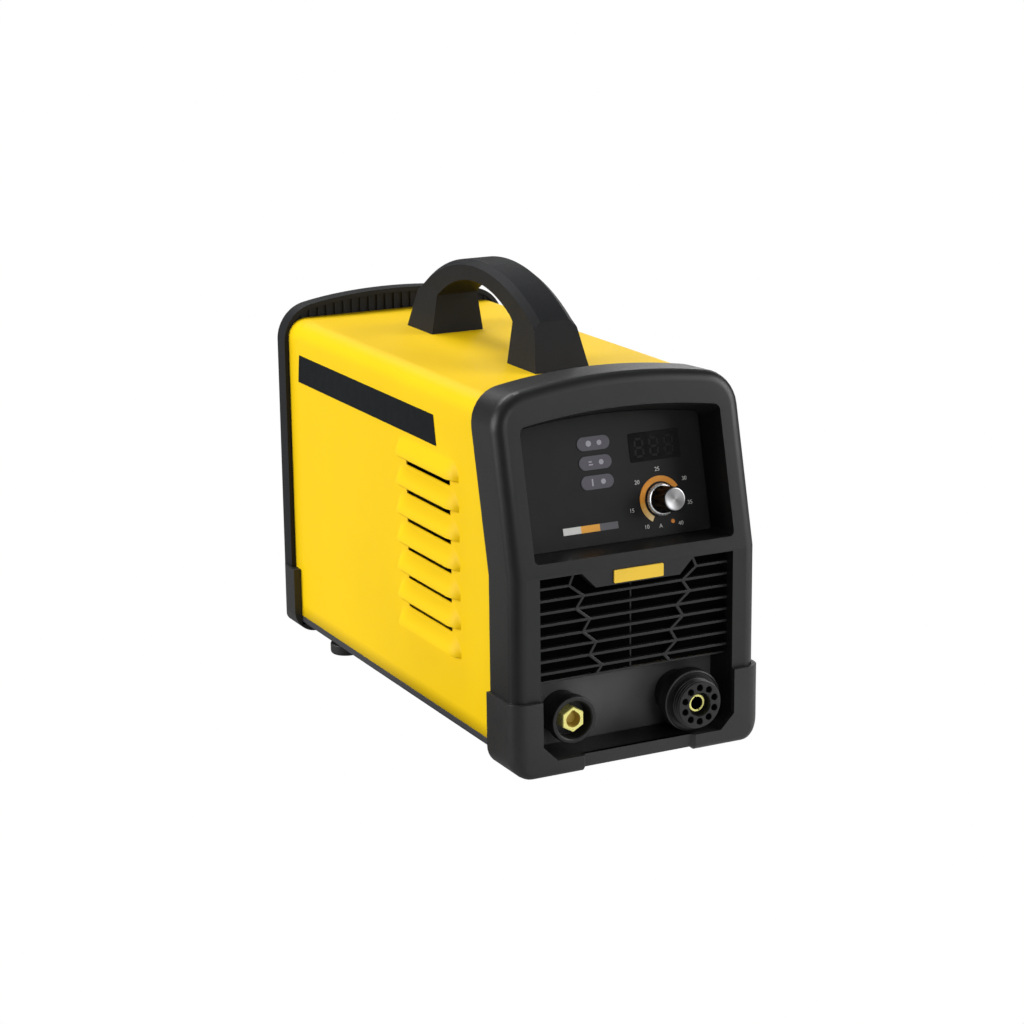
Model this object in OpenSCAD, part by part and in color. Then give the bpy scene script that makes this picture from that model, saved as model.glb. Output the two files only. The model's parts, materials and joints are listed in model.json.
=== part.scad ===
/* [Body] */
// Width of the front bezel and the rear frame
body_w = 156; // [150:1:170]
// Length from the front rim to the back of the rear frame
body_len = 333; // [320:1:360]
// Height of the crowned top of both frames above the floor
body_h = 220; // [218:1:235]
// Radius of the crowned top edge of the frames
crown_r = 365; // [300:5:500]
// Radius of the two upper corners of the frames
corner_r = 22; // [18:1:24]
// Height at which the front starts to lean back
kink_z = 115; // [112:1:118]
// Angle at which the upper front leans back
lean = 13.5; // [10:0.5:16]
// Wall of the moulded frames
frame_wall = 2.8; // [2.2:0.1:3.2]

/* [Cover] */
// Distance of the cover's sides inside the frames' sides
cover_set = 3; // [3:0.1:5]
// Height of the flat top of the cover above the floor
cover_top = 208; // [204:1:209]
// Height of the cover's lower edge above the floor
cover_bottom = 13; // [12:0.5:16]
// Thickness of the cover sheet
sheet = 1.2; // [0.8:0.1:1.5]
// Outer radius of the two long bends of the cover
bend_r = 12; // [8:1:15]

/* [Louvres] */
// Number of louvres on each side
louvre_count = 7; // [3:1:7]
// Distance from one louvre to the next
louvre_pitch = 17.3; // [16.5:0.1:18]
// Height of the highest louvre lip above the floor
louvre_top_lip = 155.6; // [150:0.1:160]
// Distance of the louvres' front end behind the front rim
louvre_front = 72; // [66:1:80]
// Length of a louvre with its rounded ends
louvre_len = 82; // [60:1:90]
// Height of one louvre hood
hood_h = 11.5; // [9:0.5:12.5]
// How far a louvre hood stands out of the cover
hood_out = 5; // [3.5:0.1:5]
// Length of a louvre's rounded end
hood_end = 15.5; // [12:0.5:20]

/* [Front bezel] */
// Depth of the front bezel
bezel_depth = 29.5; // [28:0.5:33]
// Rounding of the bezel's front edges
edge_r = 8; // [6:0.5:9]
// Distance of the control recess from the bezel's sides
recess_side = 14.6; // [14:0.1:16]
// Depth of the control recess, square to the leaning face
recess_depth = 23.7; // [20:0.1:24]
// Lower edge of the control recess, up the slope from the kink
recess_low = 7.3; // [6:0.1:9]
// Upper edge of the control recess at its middle, up the slope from the kink
recess_high = 87.5; // [84:0.5:90]
// Distance of the grille opening and of the connection recess from the bezel's sides
window_side = 16.5; // [16:0.5:19]
// Height of the grille opening's lower edge above the floor
grille_low = 52.8; // [52:0.2:54]
// Height of the grille opening's upper edge above the floor
grille_high = 114; // [113:0.5:115]
// Height of the connection recess's floor above the floor
rail_top = 9.5; // [9:0.5:11]
// Depth of the connection recess behind the front rim
panel_depth = 23.7; // [20:0.1:26]

/* [Grille] */
// Number of grille bars
bar_count = 8; // [6:1:8]
// Distance from one grille bar to the next
bar_pitch = 6.98; // [6.9:0.01:7.05]
// Height of the highest grille bar above the floor
bar_top_z = 106.6; // [106:0.1:107]
// Thickness of a grille bar
bar_t = 1.7; // [1.4:0.1:2.4]
// Distance of the grille bars behind the front rim
grille_set = 5.4; // [4:0.1:6]

/* [Bumpers] */
// How far the bumpers stand out of the frames' sides
bumper_wall = 2; // [1.8:0.1:4]
// Height of the bumpers' side pieces above the floor
bumper_h = 44.4; // [40:0.2:48]
// How far the front bumper stands out of the front rim
bumper_out = 3; // [2:0.2:4]
// Length of the front bumper's sides behind the front rim
bumper_side = 30.5; // [26:0.5:32]
// Length of the rear bumper's sides
rear_bumper_side = 24; // [20:0.5:30]

/* [Handle] */
// Distance of the handle's middle behind the front rim
handle_mid = 175; // [170:1:180]
// Length of the handle over its feet
handle_len = 174.5; // [165:0.5:180]
// Height of the handle's top above the cover
handle_h = 52.3; // [48:0.1:60]
// Width of the handle at its feet
handle_foot_w = 35; // [32:0.5:40]
// Width of the handle's grip
handle_grip_w = 26.4; // [24:0.2:30]

/* [Controls] */
// Place of the current knob to the right of the middle
knob_x = 32; // [30:0.5:33]
// Place of the current knob up the slope from the kink
knob_s = 32.2; // [30:0.1:34]
// Diameter of the knob's fluted body
knob_d = 14.6; // [13:0.2:15]
// Height of the knob above the fascia
knob_h = 16.5; // [14:0.5:19]
// Diameter of the control shaft
shaft_d = 6; // [5:0.5:6.5]
// Radial clearance of parts that turn in a bore
run_gap = 0.05; // [0.03:0.01:0.08]
// Width of the display window
display_w = 32.6; // [30:0.2:34]
// Height of the display window
display_h = 16.6; // [15:0.2:18]
// Length of an indicator window
pill_len = 20.7; // [18:0.1:22]
// Height of an indicator window
pill_h = 7.8; // [6:0.1:9]

/* [Sockets] */
// Distance of the two front sockets from the bezel's sides
socket_side = 40.5; // [38:0.5:42]
// Height of the two front sockets above the floor
socket_z = 27.8; // [27:0.1:31]
// Bore of the earth socket
earth_bore = 9; // [8:0.1:9.5]
// Outer diameter of the earth socket's collar
collar_d = 27.8; // [26:0.2:30]
// Outer diameter of the torch socket's ring
torch_ring_d = 36.4; // [34:0.2:38]
// Diameter of the torch socket's face
torch_face_d = 28.4; // [27:0.2:30]
// Diameter of the circle of pin holes
pin_circle_d = 20; // [19:0.1:21]
// Bore of the torch socket's gas tube
torch_bore = 7; // [6:0.1:7.5]
// How far the torch socket stands out of the front rim
torch_out = 5; // [3:0.5:7]

/* [Rear] */
// Depth of the rear frame
rear_depth = 14; // [13:0.5:18]
// Side of the square cooling fan
fan_side = 92; // [80:1:94]
// Height of the fan's middle above the floor
fan_z = 112; // [108:1:116]
// Distance between the fan's screw holes
fan_holes = 82.5; // [70:0.5:83]
// Thickness of the fan
fan_t = 25; // [20:1:30]
// Bore of the mains cable gland
gland_bore = 9; // [7:0.5:10]
// Outer diameter of the air inlet's hose tail
air_tail_d = 9; // [8:0.5:10]
// Height of the power switch above the floor
switch_z = 186; // [182:1:188]
// Place of the power switch to the left of the middle
switch_x = 38; // [30:1:44]
// Swing of the power switch's rocker
rocker_swing = 18; // [12:1:20]

/* [Inside] */
// Height of the main board above the floor
board_z = 50; // [46:1:54]
// Thickness of a circuit board
board_t = 1.6; // [1.2:0.1:2.4]
// Diameter of a rubber foot
foot_d = 20; // [16:1:24]
// Distance of the rubber feet before the rear end
foot_rear = 70; // [50:1:90]

/* [Hidden] */
$fn = 64;
eps = 0.5;
gap = 0.2;
fit = 0.01;

// Frame of reference: the front rim's lower face and the back of the rear frame
front_y = -body_len / 2;
rear_y = body_len / 2;

// The frames' outline
half_w = body_w / 2;
frame_bottom = 3.6;
tray_bottom = 6.8;
tray_t = 1.5;
tray_floor = tray_bottom + tray_t;
tray_cut = 2.5;
panel_t = 2.5;
panel_back = panel_depth + panel_t;
tray_front = panel_back + gap;
low_r = 11;
tray_flange = 16;
half_lean = tan(lean / 2);
slope_len = (body_h - kink_z) / cos(lean);
round_steps = [0, 30, 60, 90];
crown_rise = 4;

// The cover
cover_w = body_w - 2 * cover_set;
cover_half = cover_w / 2;
cover_front = bezel_depth - frame_wall;
frame_front = body_len - rear_depth;
cover_rear = frame_front + 2;
slot_drop = louvre_pitch - hood_h - 0.2;
slot_inset = hood_end - 4;
label_t = 0.3;
label_low = 170;
label_high = 187.6;

// The handle
handle_top = cover_top + handle_h;
leg_lean = 9.7;
crease_h = 27.3;
opening_half = 51;
opening_rise = 16;
grip_t = 12;
handle_chamfer = 3.2;
handle_flat = 4;
handle_screw_y = handle_len / 2 - 19.25;
handle_screw_x = 9;
bracket_t = 3;

// The control panel, in the leaning frame
recess_half = half_w - recess_side;
recess_wall = 2;
fascia_t = 2;
fascia_half = recess_half - 0.8;
fascia_low = recess_low + 4.2;
fascia_high = recess_high - 2.6;
fascia_bottom = fascia_low + (fascia_low - recess_low) * fascia_t / recess_depth + gap;
fascia_top = fascia_high - (recess_high - fascia_high) * fascia_t / recess_depth - gap;
ledge = 3;
board_half_w = recess_half - 4.9;
spacer_x = board_half_w - 3.5;
spacer_s = [fascia_low + 10, fascia_high - 16];
board_back = recess_depth + fascia_t + 14;
display_x = recess_half - 31.8;
display_s = 63.2;
pill_x = display_x - 38.7;
pill_s = [68.8, 57.9, 46.9];
shaft_top = knob_h - 6;
bushing_d = 7;
pot_d = 16.4;
flute_count = 20;
knob_base = 3.4;
dial_r = 13.6;
dial_in = 10.4;

// The grille and the badge
window_half = half_w - window_side;
corner_cut = 8.8;
tab_h = 9;
tab_top = 35.5;
tab_low = 26.8;
grille_t = 3.5;
rib_t = 1.6;

// The bumpers
bumper_w = body_w + 2 * bumper_wall;
bumper_r = 11;
bumper_low_r = 14.5;
bumper_edge = 3.5;
bumper_foot = 36;
bumper_dip = 12;

// The sockets
socket_x = half_w - socket_side;
panel_screw_x = window_half + 6;
panel_screw_z = grille_low - 8;
earth_front = 5.8;
earth_recess_d = 22;
earth_body_d = 22;
earth_stem_d = 12;
earth_hex = 13;
earth_key = 2.6;
pin_count = 10;
pin_d = 3.9;
torch_ring_front = 2.6;
torch_ring_t = 8;
torch_neck_d = 24;
torch_tube_d = torch_bore + 3.4;
torch_well_d = torch_tube_d + 3.4;

// The rear
web_t = 3;
rear_panel_t = 2;
panel_y = frame_front + web_t;
face = panel_y + rear_panel_t;
fan_y = panel_y - fan_t;
fan_bore = fan_side - 4;
fan_tip = fan_side - 7;
fan_hub = 36;
fan_axle_d = 4;
fan_blades = 7;
guard_rings = [9, 17, 25, 33, 41];
guard_wire = 2;
fin_pitch = 5.95;
fin_slot = 3.4;
vent_depth = 6;
rear_window = half_w - 18;
rear_screw_x = half_w - 12;
rear_screw_zs = [24, 106, 196];
rocker_w = 12.6;
rocker_pivot = 2.2;
rocker_pin_d = 3;
switch_w = 19;
switch_h = 24;
inlet_z = socket_z;
inlet_d = 13;
gland_z = 31;
gland_d = 16;
rear_reach = body_len + torch_out;

// The air way
valve_back = body_len - 63;
valve_len = 34;
valve_front = valve_back - valve_len;
valve_half = 13;
valve_port = 5;
torch_hose_d = 15;
inlet_hose_d = 14;

// The main board and what stands on it
board_from = 80;
board_to = body_len - 61;
board_half = cover_half - 9;
board_top = board_z + board_t;
post_x = board_half - 6;
post_ys = [board_from + 10, board_to - 27];
sink_in = 27;
sink_out = board_half - 5;
sink_from = board_from + 15;
sink_len = post_ys[1] - 30 - sink_from;
sink_h = 62;
sink_base = 5;
fin_count = 8;
chip_pitch = (sink_len - 8) / 4;
core_from = sink_from + 17;
core_w = 34;
core_len = 40;
core_h = 42;
core_window = 10;
choke_x = -34;
choke_y = post_ys[1] - 45;
choke_d = 52;
choke_h = 26;
can_d = 25;
can_h = 45;
can_pitch = 26;
can_y = board_to - 43;
bridge_side = 28;

// The screws and the foot
screw_d = 4;
m3_d = 3;
screw_hole = 3.4;
foot_x = cover_half - 10;
foot_back = body_len - foot_rear;

// Colours
yellow = [0.99, 0.82, 0.14];
black = [0.16, 0.16, 0.17];
panel_black = [0.11, 0.11, 0.12];
rubber = [0.1, 0.1, 0.1];
steel = [0.75, 0.76, 0.78];
zinc = [0.6, 0.62, 0.65];
grey = [0.34, 0.35, 0.37];
brass = [0.86, 0.72, 0.32];
silver = [0.85, 0.86, 0.88];
green = [0.1, 0.42, 0.22];
orange = [0.93, 0.52, 0.12];
copper = [0.75, 0.42, 0.2];
aluminium = [0.8, 0.81, 0.82];
blue = [0.15, 0.3, 0.6];
smoke = [0.05, 0.05, 0.06];

// A plane drawing (x, z) raised along Y from distance a to distance b behind the front rim
module along_y(a, b) {
    translate([0, front_y + b, 0]) rotate([90, 0, 0]) linear_extrude(b - a) children();
}

// A plane drawing (distance behind the front rim, z) raised across X from a to b
module along_x(a, b) {
    translate([a, front_y, 0]) rotate([90, 0, 90]) linear_extrude(b - a) children();
}

// Places children on the leaning face: x across, y up the slope, z outwards
module on_slope() {
    translate([0, front_y, kink_z]) rotate([90 - lean, 0, 0]) children();
}

// A rod along Y from distance a to distance b behind the front rim
module rod_y(x, z, d, a, b) {
    translate([x, front_y + b, z]) rotate([90, 0, 0]) cylinder(d = d, h = b - a);
}

// A hexagonal rod along Y, size across flats
module hex_y(x, z, flats, a, b) {
    translate([x, front_y + b, z]) rotate([90, 30, 0]) cylinder(d = flats / cos(30), h = b - a, $fn = 6);
}

// Turns children over to the left side where s is negative
module flip_x(s) {
    mirror([s < 0 ? 1 : 0, 0, 0]) children();
}

// The same for a plane drawing
module flip_2d(s) {
    mirror([s < 0 ? 1 : 0, 0]) children();
}

// A hexagonal nut along Y from distance a, on a thread of diameter d
module nut_y(x, z, flats, d, a, h) {
    difference() {
        hex_y(x, z, flats, a, a + h);
        rod_y(x, z, d + 2 * fit, a - 1, a + h + 1);
    }
}

// What the rounded lower corners take off a frame from distance a to distance b
module lower_corners(a, b) {
    along_y(a, b) for (s = [-1, 1]) flip_2d(s) difference() {
        translate([half_w - low_r, frame_bottom - 1]) square(low_r + 1);
        translate([half_w - low_r, frame_bottom + low_r]) circle(low_r);
    }
}

// A plane drawing without its corners at the tray's lower edges, cut back by size
module cut_corners(size) {
    difference() {
        children();
        for (s = [-1, 1]) flip_2d(s) translate([cover_half, tray_bottom])
            polygon([[1, -1], [1, size + 1], [-size - 1, -1]]);
    }
}

// The frames' lower outline with the bumpers' clearance
module seat_outline() {
    intersection() {
        union() {
            translate([-half_w - gap, frame_bottom + low_r]) square([body_w + 2 * gap, bumper_h]);
            translate([low_r - half_w, frame_bottom]) square([body_w - 2 * low_r, bumper_h]);
            for (s = [-1, 1]) translate([s * (half_w - low_r), frame_bottom + low_r]) circle(low_r + gap);
        }
        translate([-body_w, frame_bottom]) square([2 * body_w, 2 * bumper_h]);
    }
}

module at_corners(x, y) {
    for (sx = [-1, 1], sy = [-1, 1]) translate([sx * x, sy * y]) children();
}

module rounded_rect(w, h, r) {
    union() {
        square([w - 2 * r, h], center = true);
        square([w, h - 2 * r], center = true);
        at_corners(w / 2 - r, h / 2 - r) circle(r);
    }
}

// Points of the crowned upper outline, from the left side to the right side,
// drawn inside the outline of width w and top height top by the distance inset
function crown_points(w, top, big_r, small_r, inset, arc_n, top_n) =
    let (
        cx = w / 2 - small_r,
        base = top - big_r,
        cz = base + sqrt(pow(big_r - small_r, 2) - cx * cx),
        turn = asin(cx / (big_r - small_r)),
        r1 = small_r - inset,
        r2 = big_r - inset
    )
    concat(
        [for (i = [0:arc_n]) let (a = 180 - i * (90 - turn) / arc_n) [-cx + r1 * cos(a), cz + r1 * sin(a)]],
        [for (i = [1:top_n - 1]) let (a = 90 + turn - i * 2 * turn / top_n) [r2 * cos(a), base + r2 * sin(a)]],
        [for (i = [0:arc_n]) let (a = 90 - turn - i * (90 - turn) / arc_n) [cx + r1 * cos(a), cz + r1 * sin(a)]]
    );

// The crowned outline of the frames as a plane drawing with true arcs
module frame_outline(inset, low) {
    cx = half_w - corner_r;
    base = body_h - crown_r;
    cz = base + sqrt(pow(crown_r - corner_r, 2) - cx * cx);
    tangent_x = cx * (crown_r - inset) / (crown_r - corner_r);
    union() {
        intersection() {
            translate([0, base]) circle(crown_r - inset, $fn = 360);
            translate([-tangent_x, low]) square([2 * tangent_x, body_h]);
        }
        translate([inset - half_w, low]) square([2 * (half_w - inset), cz - low]);
        for (s = [-1, 1]) translate([s * cx, cz]) circle(corner_r - inset);
    }
}

// The cover's outline as a plane drawing, moved inwards by inset
module cover_outline(inset, low) {
    r = bend_r - inset;
    union() {
        translate([inset - cover_half, low])
            square([2 * (cover_half - inset), cover_top - bend_r - low]);
        translate([bend_r - cover_half, low]) square([2 * (cover_half - bend_r), cover_top - inset - low]);
        for (s = [-1, 1]) translate([s * (cover_half - bend_r), cover_top - bend_r]) circle(r);
    }
}

// A body through a list of closed rings of equal length; each ring's first and last
// points and the points before and after them are its lower part
module loft(rings) {
    n = len(rings[0]);
    m = len(rings);
    polyhedron(
        points = [for (ring = rings) for (p = ring) p],
        faces = concat(
            [[0, 1, n - 2, n - 1], [for (k = [1:n - 2]) k]],
            [for (j = [0:m - 2]) for (k = [0:n - 1]) let (a = j * n + k, b = j * n + (k + 1) % n)
                each [[a, a + n, b], [b, a + n, b + n]]],
            [[for (k = [n - 1:-1:0]) if (k == 0 || k == 1 || k >= n - 2) (m - 1) * n + k],
             [for (k = [n - 2:-1:1]) (m - 1) * n + k]]
        )
    );
}

// One ring of the bezel at distance d behind the front face
function bezel_ring(d, inset, low, rise) =
    let (
        upper = crown_points(body_w, slope_len, crown_r, corner_r, inset, 6, 14),
        kink_s = -d * half_lean,
        side = half_w - inset
    )
    concat(
        [[-side, front_y + d, low]],
        [[-side, front_y + d, kink_z + kink_s]],
        [for (p = upper) slope_point(p[0], p[1] + rise, -d)],
        [[side, front_y + d, kink_z + kink_s]],
        [[side, front_y + d, low]]
    );

function slope_point(u, s, t) =
    [u, front_y + s * sin(lean) - t * cos(lean), kink_z + s * cos(lean) + t * sin(lean)];

module bezel_body() {
    loft(concat(
        [for (a = round_steps) bezel_ring(edge_r * (1 - cos(a)), edge_r * (1 - sin(a)), frame_bottom, 0)],
        [bezel_ring(bezel_depth, 0, frame_bottom, crown_rise)]
    ));
}

module bezel_cavity() {
    intersection() {
        loft([
            bezel_ring(frame_wall, edge_r - 2, tray_bottom - gap, -2),
            bezel_ring(edge_r, frame_wall, tray_bottom - gap, -1),
            bezel_ring(bezel_depth - frame_wall, frame_wall, tray_bottom - gap, 0)
        ]);
        along_y(0, 2 * bezel_depth) cut_corners(2 * tray_cut)
            translate([-half_w, 0]) square([body_w, 2 * body_h]);
    }
}

// Ring of the control recess at depth t square to the leaning face
function recess_ring(t, half, low, high) =
    let (upper = crown_points(2 * half, high, crown_r + 20, 4, 0, 3, 12))
    concat(
        [slope_point(-half, low, t)],
        [slope_point(-half, low + 1, t)],
        [for (p = upper) slope_point(p[0], p[1], t)],
        [slope_point(half, low + 1, t)],
        [slope_point(half, low, t)]
    );

module recess_body(wall, front, back) {
    k = (fascia_high - recess_high) / recess_depth;
    f = (fascia_low - recess_low) / recess_depth;
    h = (fascia_half + gap - recess_half) / recess_depth;
    loft([for (d = [front, back])
        recess_ring(-d, recess_half + h * d + wall, recess_low + f * d - wall, recess_high + k * d + wall)]);
}

module front_bezel() {
    wall = recess_wall;
    color(black) difference() {
        union() {
            difference() {
                bezel_body();
                bezel_cavity();
                // The cover and the tray pass through the bezel's back wall
                along_y(min(cover_front - eps, tray_front - gap), 2 * bezel_depth) cut_corners(tray_cut - gap)
                    cover_outline(-gap, tray_bottom - gap);
            }
            // Walls of the control recess and its ledge for the fascia
            intersection() {
                recess_body(wall, 1, recess_depth + fascia_t + 2);
                bezel_body();
            }
            // Walls of the connection recess
            difference() {
                along_y(1.5, panel_depth) translate([-window_half - wall, frame_bottom + 1])
                    square([2 * (window_half + wall), grille_low - frame_bottom - 1]);
                along_y(0, panel_depth + 1) translate([-window_half, rail_top])
                    square([2 * window_half, grille_low - wall - rail_top]);
            }
            // Posts for the connection panel's screws
            for (s = [-1, 1]) rod_y(s * panel_screw_x, panel_screw_z, 2 * screw_hole, frame_wall, panel_depth);
        }
        lower_corners(-1, bezel_depth + 1);
        recess_body(0, -1, recess_depth + fascia_t);
        recess_body(-ledge, recess_depth, recess_depth + fascia_t + 3);
        // Front openings of the connection recess and of the grille
        along_y(-1, panel_depth - eps) connection_outline();
        along_y(-1, grille_set + 6) grille_outline(0);
        along_y(grille_set + 5, bezel_depth - 6) translate([-window_half + 3, grille_low])
            square([2 * window_half - 6, grille_high - grille_low - 3]);
    }
}

// Opening of the connection recess in the front face, with chamfered lower corners
module connection_outline() {
    c = corner_cut;
    polygon([
        [-window_half, grille_low - 2], [-window_half, rail_top + c], [c - window_half, rail_top],
        [window_half - c, rail_top], [window_half, rail_top + c], [window_half, grille_low - 2]
    ]);
}

// Opening of the grille in the front face, with a tab for the badge in its upper edge
module grille_outline(inset) {
    h = window_half - inset;
    high = grille_high - inset;
    polygon([
        [-h, grille_low + inset], [-h, high], [-tab_top - inset, high], [-tab_low - inset, high - tab_h],
        [tab_low + inset, high - tab_h], [tab_top + inset, high], [h, high], [h, grille_low + inset]
    ]);
}

// Corner points of the zigzag ribs, from the highest bar down to the lower edge
function zigzag(i) = [
    (i % 2 == 0 ? 40.6 - 2.1 * i : 33.4 - 1.92 * i),
    max(bar_top_z - i * bar_pitch, grille_low + 1)
];

module strip(a, b, t) {
    dx = b[0] - a[0];
    dz = b[1] - a[1];
    length = sqrt(dx * dx + dz * dz);
    translate(a) rotate(atan2(dz, dx)) translate([0, -t / 2]) square([length, t]);
}

module front_grille() {
    bars_back = grille_set + grille_t;
    color(black) {
        along_y(grille_set, bars_back) union() {
            intersection() {
                grille_outline(gap);
                union() {
                    for (i = [1:bar_count - 1]) translate([-window_half, bar_top_z - i * bar_pitch - bar_t / 2])
                        square([2 * window_half, bar_t]);
                    for (s = [-1, 1]) flip_2d(s) {
                        // The highest bar ends at the ribs
                        translate([zigzag(0)[0], bar_top_z - bar_t / 2])
                            square([window_half - zigzag(0)[0], bar_t]);
                        strip([tab_top + 2, grille_high], zigzag(0), rib_t);
                        for (i = [0:bar_count - 1]) strip(zigzag(i), zigzag(i + 1), rib_t);
                    }
                }
            }
            difference() {
                grille_outline(gap);
                grille_outline(1.4);
            }
        }
        // Middle rib behind the bars
        along_y(bars_back - eps, bars_back + 2.5) translate([-1.2, grille_low + 3])
            square([2.4, grille_high - tab_h - grille_low - 6]);
    }
    // Fine dust screen behind the bars, open for the middle rib
    color(panel_black) along_y(bars_back + run_gap, bars_back + run_gap + 0.8) difference() {
        grille_outline(gap);
        translate([-1.2 - gap, grille_low + 3 - gap])
            square([2.4 + 2 * gap, grille_high - tab_h - grille_low - 6 + 2 * gap]);
    }
}

module badge_plate() {
    color(yellow) along_y(-0.9, 0) translate([0, grille_high - 4.3])
        rounded_rect(31.5, 7.4, 0.8);
}

// Upper outline of the control recess at the fascia's depth, as a plane drawing
module fascia_outline(inset) {
    polygon(concat(
        [[-fascia_half + inset, fascia_bottom + inset]],
        [for (p = crown_points(2 * fascia_half, fascia_top, crown_r + 20, 4, 0, 3, 12))
            [p[0] * (1 - inset / fascia_half), p[1] - inset]],
        [[fascia_half - inset, fascia_bottom + inset]]
    ));
}

module pill(len, h) {
    union() {
        square([len - h, h], center = true);
        for (s = [-1, 1]) translate([s * (len - h) / 2, 0]) circle(d = h);
    }
}

module control_fascia() {
    color(panel_black) on_slope() translate([0, 0, -recess_depth - fascia_t + gap / 2])
        linear_extrude(fascia_t - gap / 2) difference() {
            fascia_outline(0.1);
            translate([display_x, display_s]) rounded_rect(display_w + 0.4, display_h + 0.4, 1);
            for (s = pill_s) translate([pill_x, s]) pill(pill_len + 0.4, pill_h + 0.4);
            translate([knob_x, knob_s]) circle(d = bushing_d + 0.4);
        }
}

module display_window() {
    color(smoke) on_slope() translate([display_x, display_s, -recess_depth - fascia_t])
        linear_extrude(fascia_t + 0.3) rounded_rect(display_w, display_h, 0.8);
}

module display_module() {
    color(smoke) on_slope() translate([display_x, display_s, -board_back + board_t])
        linear_extrude(board_back - board_t - recess_depth - fascia_t - 0.1)
            square([display_w + 2, display_h + 2], center = true);
}

module indicator_lenses() {
    color(grey) on_slope() for (s = pill_s) translate([pill_x, s, -recess_depth - fascia_t])
        linear_extrude(fascia_t + 0.4) pill(pill_len, pill_h);
}

module dial_scale() {
    color(orange) on_slope() translate([knob_x, knob_s, -recess_depth]) rotate(30)
        rotate_extrude(angle = 210) translate([dial_in, 0]) square([dial_r - dial_in, 0.25]);
}

module control_board() {
    color(green) on_slope() translate([0, 0, -board_back]) linear_extrude(board_t) difference() {
        translate([-board_half_w, fascia_low + 6]) square([2 * board_half_w, fascia_high - fascia_low - 18]);
        for (x = [-spacer_x, spacer_x], s = spacer_s) translate([x, s]) circle(d = 3.2);
        translate([knob_x, knob_s]) circle(d = 8);
    }
}

module board_spacers() {
    color(zinc) on_slope() for (x = [-spacer_x, spacer_x], s = spacer_s)
        translate([x, s, -board_back + board_t])
            difference() {
                cylinder(d = 6, h = board_back - board_t - recess_depth - fascia_t);
                translate([0, 0, -1]) cylinder(d = 2.6, h = 8);
            }
}

module potentiometer() {
    color(zinc) on_slope() translate([knob_x, knob_s, 0]) difference() {
        union() {
            translate([0, 0, -board_back + board_t]) cylinder(d = pot_d, h = 8);
            translate([0, 0, -board_back + board_t])
                cylinder(d = bushing_d, h = board_back - board_t - recess_depth + 3);
            translate([0, 0, -recess_depth]) cylinder(d = 11.5, h = 2, $fn = 6);
            translate([0, 0, -recess_depth - fascia_t - 4]) cylinder(d = 12, h = 4);
        }
        translate([0, 0, -board_back + board_t + 3]) cylinder(d = shaft_d + 2 * run_gap, h = board_back);
    }
}

module pot_shaft() {
    color(zinc) on_slope() translate([knob_x, knob_s, -board_back + board_t + 3 + gap])
        cylinder(d = shaft_d, h = board_back - board_t - 3 - gap - recess_depth + shaft_top);
}

module knob_body() {
    base = knob_base;
    color(black) on_slope() translate([knob_x, knob_s, -recess_depth]) difference() {
        union() {
            translate([0, 0, base]) cylinder(d = knob_d, h = knob_h - base - 0.6);
            translate([0, 0, base - 0.8]) cylinder(d = knob_d + 1.2, h = 2);
        }
        translate([0, 0, base - 1]) cylinder(d = shaft_d, h = shaft_top + gap - base + 1);
        translate([0, 0, knob_h - 1.2]) cylinder(d = knob_d - 1.4, h = 2);
        for (i = [0:flute_count - 1]) rotate(i * 360 / flute_count) translate([knob_d / 2 + 0.35, 0, base + 1.2])
            cylinder(d = 1.5, h = knob_h);
        translate([0, 0, base - 1]) cylinder(d = knob_d - 3, h = 0.9);
    }
}

module knob_skirt() {
    color(silver) on_slope() translate([knob_x, knob_s, -recess_depth + 0.5]) difference() {
        union() {
            cylinder(d = knob_d + 4, h = 1.2);
            translate([0, 0, 1.2]) cylinder(d1 = knob_d + 4, d2 = knob_d + 2.4, h = 0.9);
        }
        translate([0, 0, -1]) cylinder(d = 12.4, h = 3.1);
        translate([0, 0, 2.1]) cylinder(d = knob_d + 1.2 + 0.02, h = 2);
    }
}

module knob_cap() {
    color(silver) on_slope() translate([knob_x, knob_s, -recess_depth + knob_h - 1.2]) union() {
        cylinder(d = knob_d - 1.5, h = 0.9);
        translate([0, 0, 0.9]) cylinder(d1 = knob_d - 1.5, d2 = knob_d - 2.4, h = 0.3);
    }
}

// Outer form of a bumper between two distances behind the front rim
module bumper_block(a, b, rounded_front) {
    r = bumper_r;
    low = bumper_low_r;
    edge = bumper_edge;
    intersection() {
        // Rounded upright corners
        translate([0, front_y, 0]) linear_extrude(bumper_h) union() {
            translate([-bumper_w / 2, a + (rounded_front ? r : 0)]) square([bumper_w, b - a - r]);
            translate([r - bumper_w / 2, a]) square([bumper_w - 2 * r, b - a]);
            for (s = [-1, 1]) translate([s * (bumper_w / 2 - r), rounded_front ? a + r : b - r]) circle(r);
        }
        // Rounded lower corners
        along_y(a - 1, b + 1) union() {
            translate([-bumper_w / 2, low]) square([bumper_w, bumper_h]);
            translate([low - bumper_w / 2, 0]) square([bumper_w - 2 * low, bumper_h]);
            for (s = [-1, 1]) translate([s * (bumper_w / 2 - low), low]) circle(low);
        }
        // Rounded lower outer edge
        along_x(-bumper_w, bumper_w) union() {
            translate([a + (rounded_front ? edge : 0), 0]) square([b - a - edge, bumper_h]);
            translate([a, edge]) square([b - a, bumper_h]);
            translate([rounded_front ? a + edge : b - edge, edge]) circle(edge);
        }
    }
}

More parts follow.
